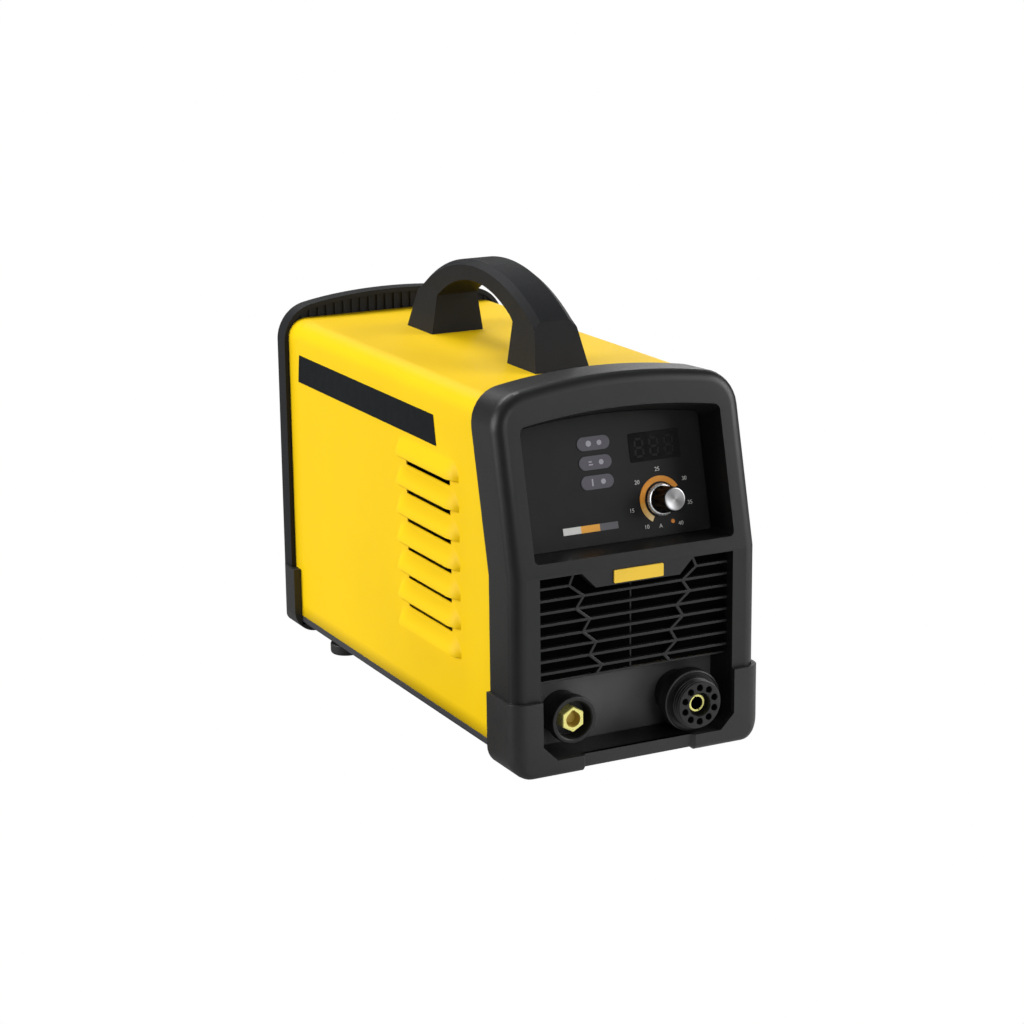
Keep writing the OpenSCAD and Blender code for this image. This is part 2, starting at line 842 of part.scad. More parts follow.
module front_bumper() {
    foot_in = bumper_foot;
    color(rubber) difference() {
        bumper_block(-bumper_out, bumper_side, true);
        // Seat of the bezel
        intersection() {
            translate([0, front_y, 0]) linear_extrude(2 * bumper_h) union() {
                translate([-half_w - gap, edge_r]) square([body_w + 2 * gap, bumper_side]);
                translate([edge_r - half_w - gap, 0]) square([body_w - 2 * edge_r + 2 * gap, bumper_side]);
                for (s = [-1, 1]) translate([s * (half_w - edge_r), edge_r]) circle(edge_r + gap);
            }
            along_y(-1, 2 * bumper_side) seat_outline();
        }
        // Window in front of the connection recess
        along_y(-bumper_out - 1, 1) union() {
            connection_outline();
            translate([-window_half, grille_low - bumper_dip]) square([2 * window_half, bumper_h]);
        }
        // The middle of the rail stands back and up from the two feet
        translate([-foot_in, front_y - bumper_out - 1, -1]) cube([2 * foot_in, 3.4, rail_top + 2]);
        translate([-foot_in, front_y - bumper_out - 1, -1]) cube([2 * foot_in, bumper_side + 10, 2.5]);
        // Relief under the tray
        translate([bumper_dip - half_w, front_y + bumper_dip, -1])
            cube([body_w - 2 * bumper_dip, bumper_side, frame_bottom + 2]);
    }
}

module rear_bumper() {
    back = body_len + 2;
    front = back - rear_bumper_side;
    foot_in = bumper_foot;
    color(rubber) difference() {
        translate([0, 0, 1.5]) difference() {
            bumper_block(front, back, false);
            translate([-bumper_w, front_y, bumper_h - 1.5]) cube([2 * bumper_w, 2 * body_len, 10]);
        }
        // Seat of the rear frame
        along_y(frame_front - gap, body_len + gap) seat_outline();
        // Seat of the cover and the tray
        along_y(front - 1, frame_front) translate([-cover_half - gap, tray_bottom - gap])
            square([cover_w + 2 * gap, bumper_h]);
        along_y(body_len - 1, back + 1) union() {
            connection_outline();
            translate([-window_half, grille_low - bumper_dip]) square([2 * window_half, bumper_h]);
        }
        translate([-foot_in, rear_y + 0.6, -1]) cube([2 * foot_in, 4, rail_top + 2]);
        translate([bumper_dip - half_w, rear_y - rear_bumper_side - 22, -1])
            cube([body_w - 2 * bumper_dip, rear_bumper_side + bumper_dip, frame_bottom + 2]);
    }
}

module connection_panel() {
    half = half_w - frame_wall - 1.2;
    color(black) along_y(panel_depth, panel_back) difference() {
        cut_corners(2 * tray_cut + gap)
            translate([-half, tray_floor + 0.5]) square([2 * half, grille_low - tray_floor + 1]);
        translate([-socket_x, socket_z]) circle(d = earth_body_d + gap);
        translate([socket_x, socket_z]) circle(d = torch_neck_d + gap);
        for (s = [-1, 1]) translate([s * panel_screw_x, panel_screw_z]) circle(d = screw_hole);
    }
}

module earth_socket_body() {
    color(black) difference() {
        union() {
            rod_y(-socket_x, socket_z, collar_d, earth_front, earth_front + 7);
            rod_y(-socket_x, socket_z, collar_d - 2.4, earth_front + 6, panel_depth);
            rod_y(-socket_x, socket_z, earth_body_d, panel_depth - 1, panel_back + 10);
        }
        rod_y(-socket_x, socket_z, earth_recess_d, earth_front - 1, earth_front + 9);
        rod_y(-socket_x, socket_z, earth_stem_d, earth_front, panel_back + 11);
    }
}

module earth_socket_contact() {
    color(brass) difference() {
        union() {
            hex_y(-socket_x, socket_z, earth_hex, earth_front + 1.4, earth_front + 9);
            rod_y(-socket_x, socket_z, earth_stem_d, earth_front + 8, panel_back + 22);
        }
        rod_y(-socket_x, socket_z, earth_bore, earth_front, earth_front + 24);
        // Keyway of the bayonet
        along_y(earth_front, earth_front + 24) translate([-socket_x - earth_key / 2, socket_z])
            square([earth_key, earth_bore / 2 + 1]);
    }
}

module earth_socket_nut() {
    color(zinc) {
        nut_y(-socket_x, socket_z, earth_body_d + 5, earth_body_d, panel_back, 5);
        nut_y(-socket_x, socket_z, earth_stem_d + 7, earth_stem_d, panel_back + 12, 6);
    }
}

module torch_socket_body() {
    ring_front = torch_ring_front;
    ring_back = torch_ring_front + torch_ring_t;
    color(black) difference() {
        union() {
            rod_y(socket_x, socket_z, torch_neck_d + 2, ring_back - 1, panel_depth);
            rod_y(socket_x, socket_z, torch_neck_d, panel_depth - 1, panel_back + 12);
            rod_y(socket_x, socket_z, torch_ring_d, ring_front + 1, ring_back);
            translate([socket_x, front_y + ring_front + 1, socket_z]) rotate([90, 0, 0])
                cylinder(d1 = torch_ring_d, d2 = torch_ring_d - 1.8, h = 1);
            rod_y(socket_x, socket_z, torch_face_d - 1.2, -torch_out, ring_back);
            // Turns of the coarse thread
            for (i = [0:2]) rod_y(socket_x, socket_z, torch_face_d, i * 2.2 - torch_out, i * 2.2 + 1 - torch_out);
        }
        // Groove between the ring and the threaded face
        difference() {
            rod_y(socket_x, socket_z, torch_ring_d - 4, ring_front - 1, ring_front + 4);
            rod_y(socket_x, socket_z, torch_face_d, ring_front - 2, ring_front + 5);
        }
        for (i = [0:pin_count - 1]) rod_y(pin_x(i), pin_z(i), pin_d, -torch_out - 1, panel_depth - 3);
        rod_y(socket_x, socket_z, torch_well_d, -torch_out - 1, 6 - torch_out);
        rod_y(socket_x, socket_z, torch_tube_d, -torch_out, panel_back + 13);
    }
}

// Places of the torch socket's pin holes
function pin_x(i) = socket_x + pin_circle_d / 2 * cos(90 + i * 360 / pin_count);

function pin_z(i) = socket_z + pin_circle_d / 2 * sin(90 + i * 360 / pin_count);

module torch_gas_tube() {
    color(brass) difference() {
        union() {
            rod_y(socket_x, socket_z, torch_tube_d, 3.5 - torch_out, panel_back + 20);
            hex_y(socket_x, socket_z, 14, panel_back + 12, panel_back + 17);
        }
        rod_y(socket_x, socket_z, torch_bore, -torch_out, panel_back + 10);
        rod_y(socket_x, socket_z, 4, -torch_out, panel_back + 21);
    }
}

module torch_pin_sleeves() {
    color(brass) for (i = [0:pin_count - 1]) difference() {
        rod_y(pin_x(i), pin_z(i), pin_d, 8 - torch_out, panel_depth - 3);
        rod_y(pin_x(i), pin_z(i), 2, 7 - torch_out, panel_depth - 6);
    }
}

module torch_socket_nut() {
    color(zinc) nut_y(socket_x, socket_z, torch_neck_d + 6, torch_neck_d, panel_back, 6);
}

module torch_hose() {
    color(blue) difference() {
        rod_y(socket_x, socket_z, torch_hose_d, panel_back + 17 + gap, valve_front - gap);
        rod_y(socket_x, socket_z, torch_tube_d + 2 * fit, panel_back + 16, valve_front + 1);
    }
}

// The tray: floor, outer band below the cover and inner flanges behind it
module base_plate() {
    inner = cover_half - sheet - gap / 2;
    flange_top = cover_bottom + tray_flange;
    color(grey) difference() {
        along_y(tray_front, frame_front + 1) difference() {
            cut_corners(tray_cut) union() {
                translate([-cover_half, tray_bottom]) square([cover_w, cover_bottom - tray_bottom]);
                translate([-inner, tray_bottom]) square([2 * inner, flange_top - tray_bottom]);
            }
            translate([-inner + tray_t, tray_floor]) square([2 * (inner - tray_t), flange_top]);
        }
        for (s = [-1, 1]) translate([s * foot_x, front_y + foot_back, 0]) cylinder(d = screw_d + 1, h = 20);
        for (x = [-post_x, post_x], y = post_ys) translate([x, front_y + y, 0]) cylinder(d = screw_hole, h = 20);
    }
}

// Side view of the cover between the two frames
module cover_side() {
    top_d = cover_front + (cover_top - kink_z) * tan(lean) + 1;
    polygon([
        [cover_front, 0], [cover_front, kink_z - bezel_depth * half_lean],
        [top_d, cover_top + 1], [cover_rear, cover_top + 1], [cover_rear, 0]
    ]);
}

function lip_z(i) = louvre_top_lip - i * louvre_pitch;

// How far a slot reaches below its hood's lip; the lowest one ends at it
function drop(i) = i < louvre_count - 1 ? slot_drop : 0;

// Upright section of one hood, leaning out to its lip; x grows outwards
module hood_section(out, h) {
    r = (out * out + h * h) / (2 * out);
    intersection() {
        translate([out - r, 0]) circle(r);
        translate([-0.6, 0]) square([out + 1, h]);
    }
}

// All hoods of one side, as a solid; grown by t, a negative t gives their inside
module hoods(t) {
    r = (pow(hood_out, 2) + pow(hood_end, 2)) / (2 * hood_out) + t;
    y0 = front_y + louvre_front + hood_end;
    y1 = front_y + louvre_front + louvre_len - hood_end;
    intersection() {
        along_y(louvre_front, louvre_front + louvre_len) for (i = [0:louvre_count - 1])
            translate([cover_half, lip_z(i) + (t < 0 ? -eps : 0)])
                hood_section(hood_out + t, hood_h + 1.5 * t);
        // Plan of the rounded ends
        translate([0, 0, lip_z(louvre_count)]) linear_extrude(louvre_count * louvre_pitch + 2 * hood_h) union() {
            translate([0, y0]) square([cover_half + hood_out + t, y1 - y0]);
            intersection() {
                for (y = [y0, y1]) translate([cover_half + hood_out - r + t, y]) circle(r);
                translate([cover_half - 0.6, front_y]) square([2 * hood_out, body_len]);
            }
        }
    }
}

module cover() {
    color(yellow) union() {
        difference() {
            intersection() {
                along_y(cover_front, cover_rear) difference() {
                    cover_outline(0, cover_bottom);
                    cover_outline(sheet, cover_bottom - 1);
                }
                along_x(-cover_w, cover_w) cover_side();
            }
            // Air slots behind and below the hoods
            for (s = [-1, 1], i = [0:louvre_count - 1])
                translate([s > 0 ? cover_half - sheet - 1 : -cover_half - fit,
                           front_y + louvre_front + slot_inset, lip_z(i) - drop(i)])
                    cube([sheet + 1 + fit, louvre_len - 2 * slot_inset, hood_h - 4 + drop(i)]);
            for (x = [-handle_screw_x, handle_screw_x], s = [-1, 1])
                translate([x, front_y + handle_mid + s * handle_screw_y, cover_top - 5])
                    cylinder(d = screw_d + 1.5, h = 10);
        }
        for (s = [-1, 1]) flip_x(s) difference() {
            hoods(0);
            hoods(-sheet);
        }
    }
}

// Bare black bands on both sides of the cover
module side_labels() {
    rear = body_len - 31;
    color(panel_black) for (x = [-cover_half - label_t, cover_half]) along_x(x, x + label_t)
        polygon([[rear, label_high], [104, label_high], [100.5, label_low], [rear + 2.5, label_low]]);
}

// Radius of the handle's outer arch, which ends just above the crease of its legs
function handle_r(crease_y) =
    let (rise = handle_h - crease_h - 0.8)
    (crease_y * crease_y + rise * rise) / (2 * rise);

// Side view of the handle
module handle_side() {
    half = handle_len / 2;
    crease_y = half - leg_lean;
    r = handle_r(crease_y);
    inner_r = (opening_half * opening_half + opening_rise * opening_rise) / (2 * opening_rise);
    inner_top = handle_top - grip_t;
    difference() {
        intersection() {
            translate([handle_mid, cover_top]) polygon([
                [-half, 0], [-crease_y, crease_h], [-crease_y, handle_h + 1],
                [crease_y, handle_h + 1], [crease_y, crease_h], [half, 0]
            ]);
            translate([handle_mid, handle_top - r]) circle(r, $fn = 180);
        }
        translate([handle_mid - opening_half, cover_top - 1])
            square([2 * opening_half, inner_top - opening_rise - cover_top + 1]);
        intersection() {
            translate([handle_mid, inner_top - inner_r]) circle(inner_r, $fn = 180);
            translate([handle_mid - opening_half, inner_top - opening_rise - fit])
                square([2 * opening_half, opening_rise + 1]);
        }
    }
}

module handle() {
    foot = handle_foot_w / 2;
    grip = handle_grip_w / 2;
    r = handle_r(handle_len / 2 - leg_lean);
    color(black) difference() {
        intersection() {
            along_x(-foot, foot) handle_side();
            along_y(0, body_len) polygon([
                [-foot, cover_top], [-grip, cover_top + crease_h], [-grip, handle_top + 1],
                [grip, handle_top + 1], [grip, cover_top + crease_h], [foot, cover_top]
            ]);
            // Chamfered upper edges that follow the arch
            translate([0, front_y + handle_mid, handle_top - r]) rotate([0, 90, 0]) rotate_extrude($fn = 180)
                polygon([
                    [0, -2 * foot], [r - handle_chamfer, -2 * foot], [r - handle_chamfer, -grip],
                    [r, handle_flat - grip], [r, grip - handle_flat], [r - handle_chamfer, grip],
                    [r - handle_chamfer, 2 * foot], [0, 2 * foot]
                ]);
        }
        for (x = [-handle_screw_x, handle_screw_x], s = [-1, 1])
            translate([x, front_y + handle_mid + s * handle_screw_y, cover_top - 1]) cylinder(d = screw_d, h = 13);
    }
}

module handle_bracket() {
    color(zinc) difference() {
        translate([-handle_foot_w / 2, front_y + handle_mid - handle_len / 2, cover_top - sheet - bracket_t])
            cube([handle_foot_w, handle_len, bracket_t]);
        for (x = [-handle_screw_x, handle_screw_x], s = [-1, 1])
            translate([x, front_y + handle_mid + s * handle_screw_y, cover_top - 10])
                cylinder(d = screw_d + 1.5, h = 12);
    }
}

module handle_screws() {
    color(steel) for (x = [-handle_screw_x, handle_screw_x], s = [-1, 1])
        translate([x, front_y + handle_mid + s * handle_screw_y, cover_top - sheet - bracket_t]) {
            cylinder(d = screw_d, h = 15);
            translate([0, 0, -3]) cylinder(d = 8, h = 3);
        }
}

module rear_frame() {
    wall = frame_wall;
    far = frame_front + web_t;
    color(black) difference() {
        loft(concat(
            [rear_ring(frame_front, 0)],
            [for (a = [90, 60, 30, 0]) rear_ring(body_len - 4 * (1 - cos(a)), 4 * (1 - sin(a)))]
        ));
        lower_corners(frame_front - 1, body_len + 1);
        // Space behind the web, and behind the vents above the cover
        along_y(far, body_len + 1) intersection() {
            cut_corners(2 * tray_cut) frame_outline(wall + 0.4, frame_bottom + wall);
            translate([-half_w, 0]) square([body_w, cover_top - 1]);
        }
        along_y(frame_front + vent_depth + 1.5, body_len + 1) frame_outline(wall + 0.4, cover_top - 2);
        // Opening for the cover, the tray and what hangs on the rear panel
        along_y(frame_front - 1, far + 1)
            translate([-rear_window, cover_bottom + 3])
                square([2 * rear_window, cover_top - cover_bottom - 9]);
        for (x = [-rear_screw_x, rear_screw_x], z = rear_screw_zs)
            rod_y(x, z, m3_d, frame_front - 1, far + 1);
        along_y(frame_front - 1, frame_front + 2) difference() {
            cut_corners(tray_cut - gap) cover_outline(-gap, tray_bottom - gap);
            cover_outline(sheet + gap + 0.6, cover_bottom + 20);
        }
        // Vent pockets between the fins above the cover
        for (i = [-10:10]) along_y(frame_front - 1, frame_front + vent_depth)
            translate([i * fin_pitch - fin_slot / 2, cover_top + 0.6])
                square([fin_slot, vent_h(i * fin_pitch)]);
    }
}

// Height of the vent pocket at x, up to the crown
function vent_h(x) = sqrt(pow(crown_r - frame_wall - 1, 2) - x * x) - (crown_r - body_h) - cover_top - 1.2;

// One ring of the rear frame at distance d behind the front rim
function rear_ring(d, inset) =
    let (upper = crown_points(body_w, body_h, crown_r, corner_r, inset, 6, 14))
    concat(
        [[inset - half_w, front_y + d, frame_bottom]],
        [[inset - half_w, front_y + d, frame_bottom + 2]],
        [for (p = upper) [p[0], front_y + d, p[1]]],
        [[half_w - inset, front_y + d, frame_bottom + 2]],
        [[half_w - inset, front_y + d, frame_bottom]]
    );

module rear_panel() {
    low = cover_bottom + 1;
    half = half_w - frame_wall - 2.6;
    color(panel_black) along_y(panel_y, face) difference() {
        intersection() {
            translate([-half, low]) square([2 * half, cover_top - 5 - low]);
            frame_outline(frame_wall + 0.6, low);
        }
        translate([0, fan_z]) circle(d = fan_bore);
        translate([0, fan_z]) at_corners(fan_holes / 2, fan_holes / 2) circle(d = screw_d + 0.4);
        translate([-switch_x, switch_z]) square([switch_w + gap, switch_h + gap], center = true);
        translate([-socket_x, gland_z]) circle(d = gland_d + gap);
        translate([socket_x, inlet_z]) circle(d = inlet_d + gap);
        translate([0, gland_z]) circle(d = 5 + gap);
        for (x = [-rear_screw_x, rear_screw_x], z = rear_screw_zs) translate([x, z]) circle(d = screw_hole);
    }
}

module rear_screws() {
    color(steel) for (x = [-rear_screw_x, rear_screw_x], z = rear_screw_zs) {
        rod_y(x, z, m3_d, panel_y - 2.5, face + 0.1);
        pan_head(x, z, 6.4);
    }
}

// A pan head on the rear panel's outer face with a cross recess
module pan_head(x, z, d) {
    top = face + 2.2;
    difference() {
        union() {
            rod_y(x, z, d, face, top - 0.8);
            translate([x, front_y + top, z]) rotate([90, 0, 0]) cylinder(d1 = d - 2.2, d2 = d, h = 0.8);
        }
        for (r = [0, 90]) translate([x, front_y + top + 0.1, z]) rotate([90, r, 0])
            linear_extrude(1.6) square([d * 0.55, 0.9], center = true);
    }
}

module fan_frame() {
    color(panel_black) difference() {
        union() {
            along_y(fan_y, panel_y) translate([0, fan_z]) difference() {
                rounded_rect(fan_side, fan_side, 5);
                circle(d = fan_bore);
            }
            // Motor plate on three struts
            along_y(fan_y, fan_y + 3) translate([0, fan_z]) {
                circle(d = fan_hub);
                for (r = [90, 210, 330]) rotate(r) translate([0, -2.5]) square([fan_side / 2 - 1, 5]);
            }
            rod_y(0, fan_z, 9, fan_y + 2, fan_y + 9);
        }
        rod_y(0, fan_z, fan_axle_d + 2 * run_gap, fan_y - 1, fan_y + 10);
        along_y(fan_y - 1, panel_y + 1) translate([0, fan_z])
            at_corners(fan_holes / 2, fan_holes / 2) circle(d = screw_d + gap);
        // Waist of the fan body between its two flanges
        along_y(fan_y + 4, panel_y - 4) translate([0, fan_z]) difference() {
            square(fan_side + 2, center = true);
            circle(d = fan_side - 1);
        }
    }
}

module fan_rotor() {
    back = panel_y - 2;
    color(black) {
        difference() {
            union() {
                rod_y(0, fan_z, fan_hub, fan_y + 4.5, back);
                intersection() {
                    difference() {
                        rod_y(0, fan_z, fan_tip, fan_y + 4.5, back);
                        rod_y(0, fan_z, fan_hub - 2, fan_y, panel_y);
                    }
                    translate([0, front_y + fan_y + fan_t / 2 + 1, fan_z]) for (i = [0:fan_blades - 1])
                        rotate([0, i * 360 / fan_blades, 0]) translate([fan_side / 4, 0, 0]) rotate([38, 0, 0])
                            cube([fan_side / 2, 2, fan_t * 1.6], center = true);
                }
            }
            rod_y(0, fan_z, fan_hub - 5, fan_y + 4, back - 3);
        }
        rod_y(0, fan_z, fan_axle_d, fan_y + 0.5, back - 2);
    }
}

module fan_guard() {
    wire = guard_wire;
    color(steel) along_y(face + 0.9, face + 0.9 + wire) translate([0, fan_z]) {
        for (r = guard_rings) ring(r, wire);
        for (i = [45, 135]) rotate(i) difference() {
            square([fan_holes * sqrt(2) - 5, wire], center = true);
            square([12, 2 * wire], center = true);
        }
        at_corners(fan_holes / 2, fan_holes / 2) ring(3.4, wire);
    }
}

module ring(r, t) {
    difference() {
        circle(r + t / 2);
        circle(r - t / 2);
    }
}

module fan_screws() {
    half = fan_holes / 2;
    color(steel) for (x = [-half, half], z = [fan_z - half, fan_z + half]) {
        rod_y(x, z, screw_d, fan_y - 3, face + 3.6);
        rod_y(x, z, 8.6, face + 3.5, face + 5);
        hex_y(x, z, 7, fan_y - 3, fan_y);
    }
}

module switch_housing() {
    color(panel_black) difference() {
        union() {
            along_y(face, face + 2) translate([-switch_x, switch_z])
                rounded_rect(switch_w + 3, switch_h + 4, 1.5);
            along_y(face - 18, face + 1) translate([-switch_x, switch_z])
                square([switch_w, switch_h], center = true);
            // Blade terminals
            for (x = [-5, 5], z = [-6, 6]) along_y(face - 26, face - 17)
                translate([x - switch_x, switch_z + z]) square([0.8, 6.3], center = true);
        }
        along_y(face - 12, face + 3) translate([-switch_x, switch_z])
            square([rocker_w + 0.8, switch_h - 3.4], center = true);
        along_pivot(-rocker_w / 2 - 2, rocker_w / 2 + 2, rocker_pin_d + 2 * run_gap);
    }
}

// A rod along the rocker's axis
module along_pivot(a, b, d) {
    translate([a - switch_x, front_y + face - rocker_pivot, switch_z]) rotate([0, 90, 0]) cylinder(d = d, h = b - a);
}

module switch_rocker() {
    color(black) union() {
        translate([-switch_x, front_y + face - rocker_pivot, switch_z]) rotate([-rocker_swing / 2, 0, 0])
            translate([-rocker_w / 2, 0, 0]) rotate([90, 0, 90]) linear_extrude(rocker_w)
                polygon([[-5, -3.4], [-2, -8.6], [5.6, -9.2], [3.6, 0], [5.6, 9.2], [-2, 8.6], [-5, 3.4]]);
        along_pivot(-rocker_w / 2 - 1.8, rocker_w / 2 + 1.8, rocker_pin_d);
    }
}

module gland_body() {
    color(black) {
        difference() {
            union() {
                hex_y(-socket_x, gland_z, gland_d + 6, face, face + 4);
                rod_y(-socket_x, gland_z, gland_d, face - 10, face + 9);
            }
            rod_y(-socket_x, gland_z, gland_bore, face - 11, face + 10);
        }
        nut_y(-socket_x, gland_z, gland_d + 6, gland_d, panel_y - 5, 5);
    }
}

module gland_nut() {
    color(black) difference() {
        union() {
            hex_y(-socket_x, gland_z, gland_d + 4.5, face + 4, face + 10);
            translate([-socket_x, front_y + rear_reach, gland_z]) rotate([90, 0, 0])
                cylinder(d1 = gland_bore + 3.5, d2 = gland_d + 2.6, h = rear_reach - face - 10);
        }
        rod_y(-socket_x, gland_z, gland_d + 2 * fit, face + 3, face + 9);
        rod_y(-socket_x, gland_z, gland_bore, face, rear_reach + 1);
    }
}

module air_inlet() {
    color(brass) difference() {
        union() {
            hex_y(socket_x, inlet_z, inlet_d + 4, face, face + 4);
            rod_y(socket_x, inlet_z, inlet_d, face - 12, face + 1);
            rod_y(socket_x, inlet_z, air_tail_d - 1.4, face - 30, rear_reach);
            // Barbs of the hose tail, outside and inside
            for (i = [0:2]) translate([socket_x, front_y + rear_reach - i * 2.9, inlet_z]) rotate([90, 0, 0])
                cylinder(d1 = air_tail_d - 1.6, d2 = air_tail_d, h = 2.4);
            for (i = [0:2]) rod_y(socket_x, inlet_z, air_tail_d, face - 29 + i * 5, face - 27 + i * 5);
        }
        rod_y(socket_x, inlet_z, valve_port, face - 31, rear_reach + 1);
    }
}

module air_inlet_nut() {
    color(brass) nut_y(socket_x, inlet_z, inlet_d + 6, inlet_d, panel_y - 5, 5);
}

module inlet_hose() {
    color(blue) difference() {
        rod_y(socket_x, inlet_z, inlet_hose_d, valve_back + gap, face - 14);
        rod_y(socket_x, inlet_z, air_tail_d + 2 * fit, valve_back - 1, face - 13);
    }
}

module air_valve() {
    low = socket_z - 11;
    color(zinc) {
        difference() {
            union() {
                translate([socket_x - valve_half, front_y + valve_front, low])
                    cube([2 * valve_half, valve_len, 22]);
                translate([socket_x, front_y + valve_front + valve_len / 2, socket_z]) cylinder(d = 9, h = 15);
            }
            rod_y(socket_x, socket_z, valve_port, valve_front - 1, valve_back + 1);
        }
        // Bracket that stands on the tray
        translate([socket_x - valve_half, front_y + valve_front + 4, tray_floor])
            cube([2 * valve_half, valve_len - 8, low - tray_floor]);
    }
}

module ground_screw() {
    color(steel) {
        rod_y(0, gland_z, 5, face - 12, face + 5);
        hex_y(0, gland_z, 8, face + fit, face + 3.5);
    }
}

module rubber_feet() {
    color(rubber) for (s = [-1, 1]) translate([s * foot_x, front_y + foot_back, 0]) difference() {
        union() {
            cylinder(d1 = foot_d - 1.6, d2 = foot_d, h = 1.2);
            translate([0, 0, 1.2]) cylinder(d = foot_d, h = tray_bottom - 1.2);
        }
        translate([0, 0, -1]) cylinder(d = 10, h = 4);
        cylinder(d = screw_d + 0.6, h = 10);
    }
}

module foot_screws() {
    color(steel) for (s = [-1, 1]) translate([s * foot_x, front_y + foot_back, 0]) {
        translate([0, 0, 1]) cylinder(d = 8, h = 2);
        translate([0, 0, 2.9]) cylinder(d = screw_d, h = 8.5);
        translate([0, 0, tray_floor]) cylinder(d = 8, h = 3.2, $fn = 6);
    }
}

module main_board() {
    color(green) difference() {
        translate([-board_half, front_y + board_from, board_z])
            cube([2 * board_half, board_to - board_from, board_t]);
        for (x = [-post_x, post_x], y = post_ys)
            translate([x, front_y + y, board_z - 1]) cylinder(d = screw_hole, h = 5);
    }
}

module board_standoffs() {
    post_h = board_z - tray_floor;
    color(brass) for (x = [-post_x, post_x], y = post_ys) translate([x, front_y + y, tray_floor]) {
        cylinder(d = 7 / cos(30), h = post_h, $fn = 6);
        translate([0, 0, post_h + board_t]) cylinder(d = 6, h = 2.2);
        translate([0, 0, post_h - 1]) cylinder(d = m3_d, h = board_t + 2);
    }
}

module heatsinks() {
    pitch = (sink_h - 6) / (fin_count - 1);
    color(aluminium) for (s = [-1, 1]) flip_x(s) along_y(sink_from, sink_from + sink_len) union() {
        translate([sink_in, board_top]) square([sink_base, sink_h]);
        for (i = [0:fin_count - 1]) translate([sink_in + sink_base - 1, board_top + 2 + i * pitch])
            square([sink_out - sink_in - sink_base + 1, 2]);
    }
}

module power_transistors() {
    t = 5;
    color(smoke) for (s = [-1, 1], i = [0:3]) flip_x(s)
        translate([sink_in - t - 0.1, front_y + sink_from + 8 + i * chip_pitch, board_top + 5]) {
            cube([t, 16, 21]);
            for (k = [0:2]) translate([2, 2 + k * 5.4, -5]) cube([0.8, 1.2, 6]);
        }
}

module transformer_core() {
    color(panel_black) translate([-core_w / 2, front_y + core_from, board_top]) difference() {
        cube([core_w, core_len, core_h]);
        for (s = [-1, 1]) translate([-1, core_len / 2 + s * 10.5 - core_window / 2, 6])
            cube([core_w + 2, core_window, core_h - 12]);
    }
}

module transformer_winding() {
    half = core_w / 2 + 3.5;
    color(copper) translate([0, front_y + core_from + core_len / 2, board_top + 6.3]) difference() {
        translate([-half, -15.2, 0]) cube([2 * half, 30.4, core_h - 12.6]);
        translate([-core_w / 2 - gap, -5.7, -1]) cube([core_w + 2 * gap, 11.4, core_h]);
    }
}

module output_choke() {
    color(copper) translate([choke_x, front_y + choke_y, tray_floor]) difference() {
        cylinder(d = choke_d, h = choke_h);
        translate([0, 0, -1]) cylinder(d = 20, h = choke_h + 2);
    }
}

// A washer over the choke with its screw down to the tray
module choke_clamp() {
    color(zinc) translate([choke_x, front_y + choke_y, tray_floor]) {
        translate([0, 0, choke_h]) cylinder(d = 30, h = 2);
        cylinder(d = 5, h = choke_h + 0.5);
        translate([0, 0, choke_h + 1.5]) cylinder(d = 9, h = 4, $fn = 6);
    }
}

module bulk_capacitors() {
    color(blue) for (i = [0:3])
        translate([can_pitch * (i % 2 - 0.5), front_y + can_y + can_pitch * floor(i / 2), board_top])
            cylinder(d = can_d, h = can_h);
}

module rectifier_bridge() {
    middle = (core_from + core_len + can_y - can_d / 2) / 2;
    color(smoke) translate([-bridge_side / 2, front_y + middle - bridge_side / 2, board_top])
        cube([bridge_side, bridge_side, 10]);
}

front_bezel();
control_fascia();
display_window();
display_module();
indicator_lenses();
dial_scale();
control_board();
board_spacers();
potentiometer();
pot_shaft();
knob_body();
knob_skirt();
knob_cap();
front_grille();
badge_plate();
front_bumper();
connection_panel();
earth_socket_body();
earth_socket_contact();
earth_socket_nut();
torch_socket_body();
torch_gas_tube();
torch_pin_sleeves();
torch_socket_nut();
torch_hose();
base_plate();
cover();
side_labels();
handle();
handle_bracket();
handle_screws();
rear_frame();
rear_panel();
rear_bumper();
rear_screws();
fan_frame();
fan_rotor();
fan_guard();
fan_screws();
switch_housing();
switch_rocker();
gland_body();
gland_nut();
air_inlet();
air_inlet_nut();
inlet_hose();
air_valve();
ground_screw();
rubber_feet();
foot_screws();
main_board();
board_standoffs();
heatsinks();
power_transistors();
transformer_core();
transformer_winding();
output_choke();
choke_clamp();
bulk_capacitors();
rectifier_bridge();
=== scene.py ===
import json
import math

import bmesh
import bpy
from mathutils import Matrix, Vector


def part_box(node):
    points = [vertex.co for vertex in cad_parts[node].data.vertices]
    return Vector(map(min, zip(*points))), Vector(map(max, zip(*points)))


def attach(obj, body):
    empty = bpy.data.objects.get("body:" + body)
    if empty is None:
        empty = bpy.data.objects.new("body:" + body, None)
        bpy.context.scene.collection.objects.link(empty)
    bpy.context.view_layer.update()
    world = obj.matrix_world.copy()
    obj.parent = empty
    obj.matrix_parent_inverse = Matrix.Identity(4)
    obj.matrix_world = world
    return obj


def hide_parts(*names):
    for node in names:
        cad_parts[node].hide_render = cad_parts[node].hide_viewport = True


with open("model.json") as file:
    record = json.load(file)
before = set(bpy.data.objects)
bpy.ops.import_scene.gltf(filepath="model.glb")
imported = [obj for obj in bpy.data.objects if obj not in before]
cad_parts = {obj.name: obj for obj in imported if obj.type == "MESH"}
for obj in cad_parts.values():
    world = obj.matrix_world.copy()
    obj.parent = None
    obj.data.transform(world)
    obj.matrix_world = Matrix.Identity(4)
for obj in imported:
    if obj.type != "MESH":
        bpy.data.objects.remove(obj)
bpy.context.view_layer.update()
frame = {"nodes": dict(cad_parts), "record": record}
mm = 0.001
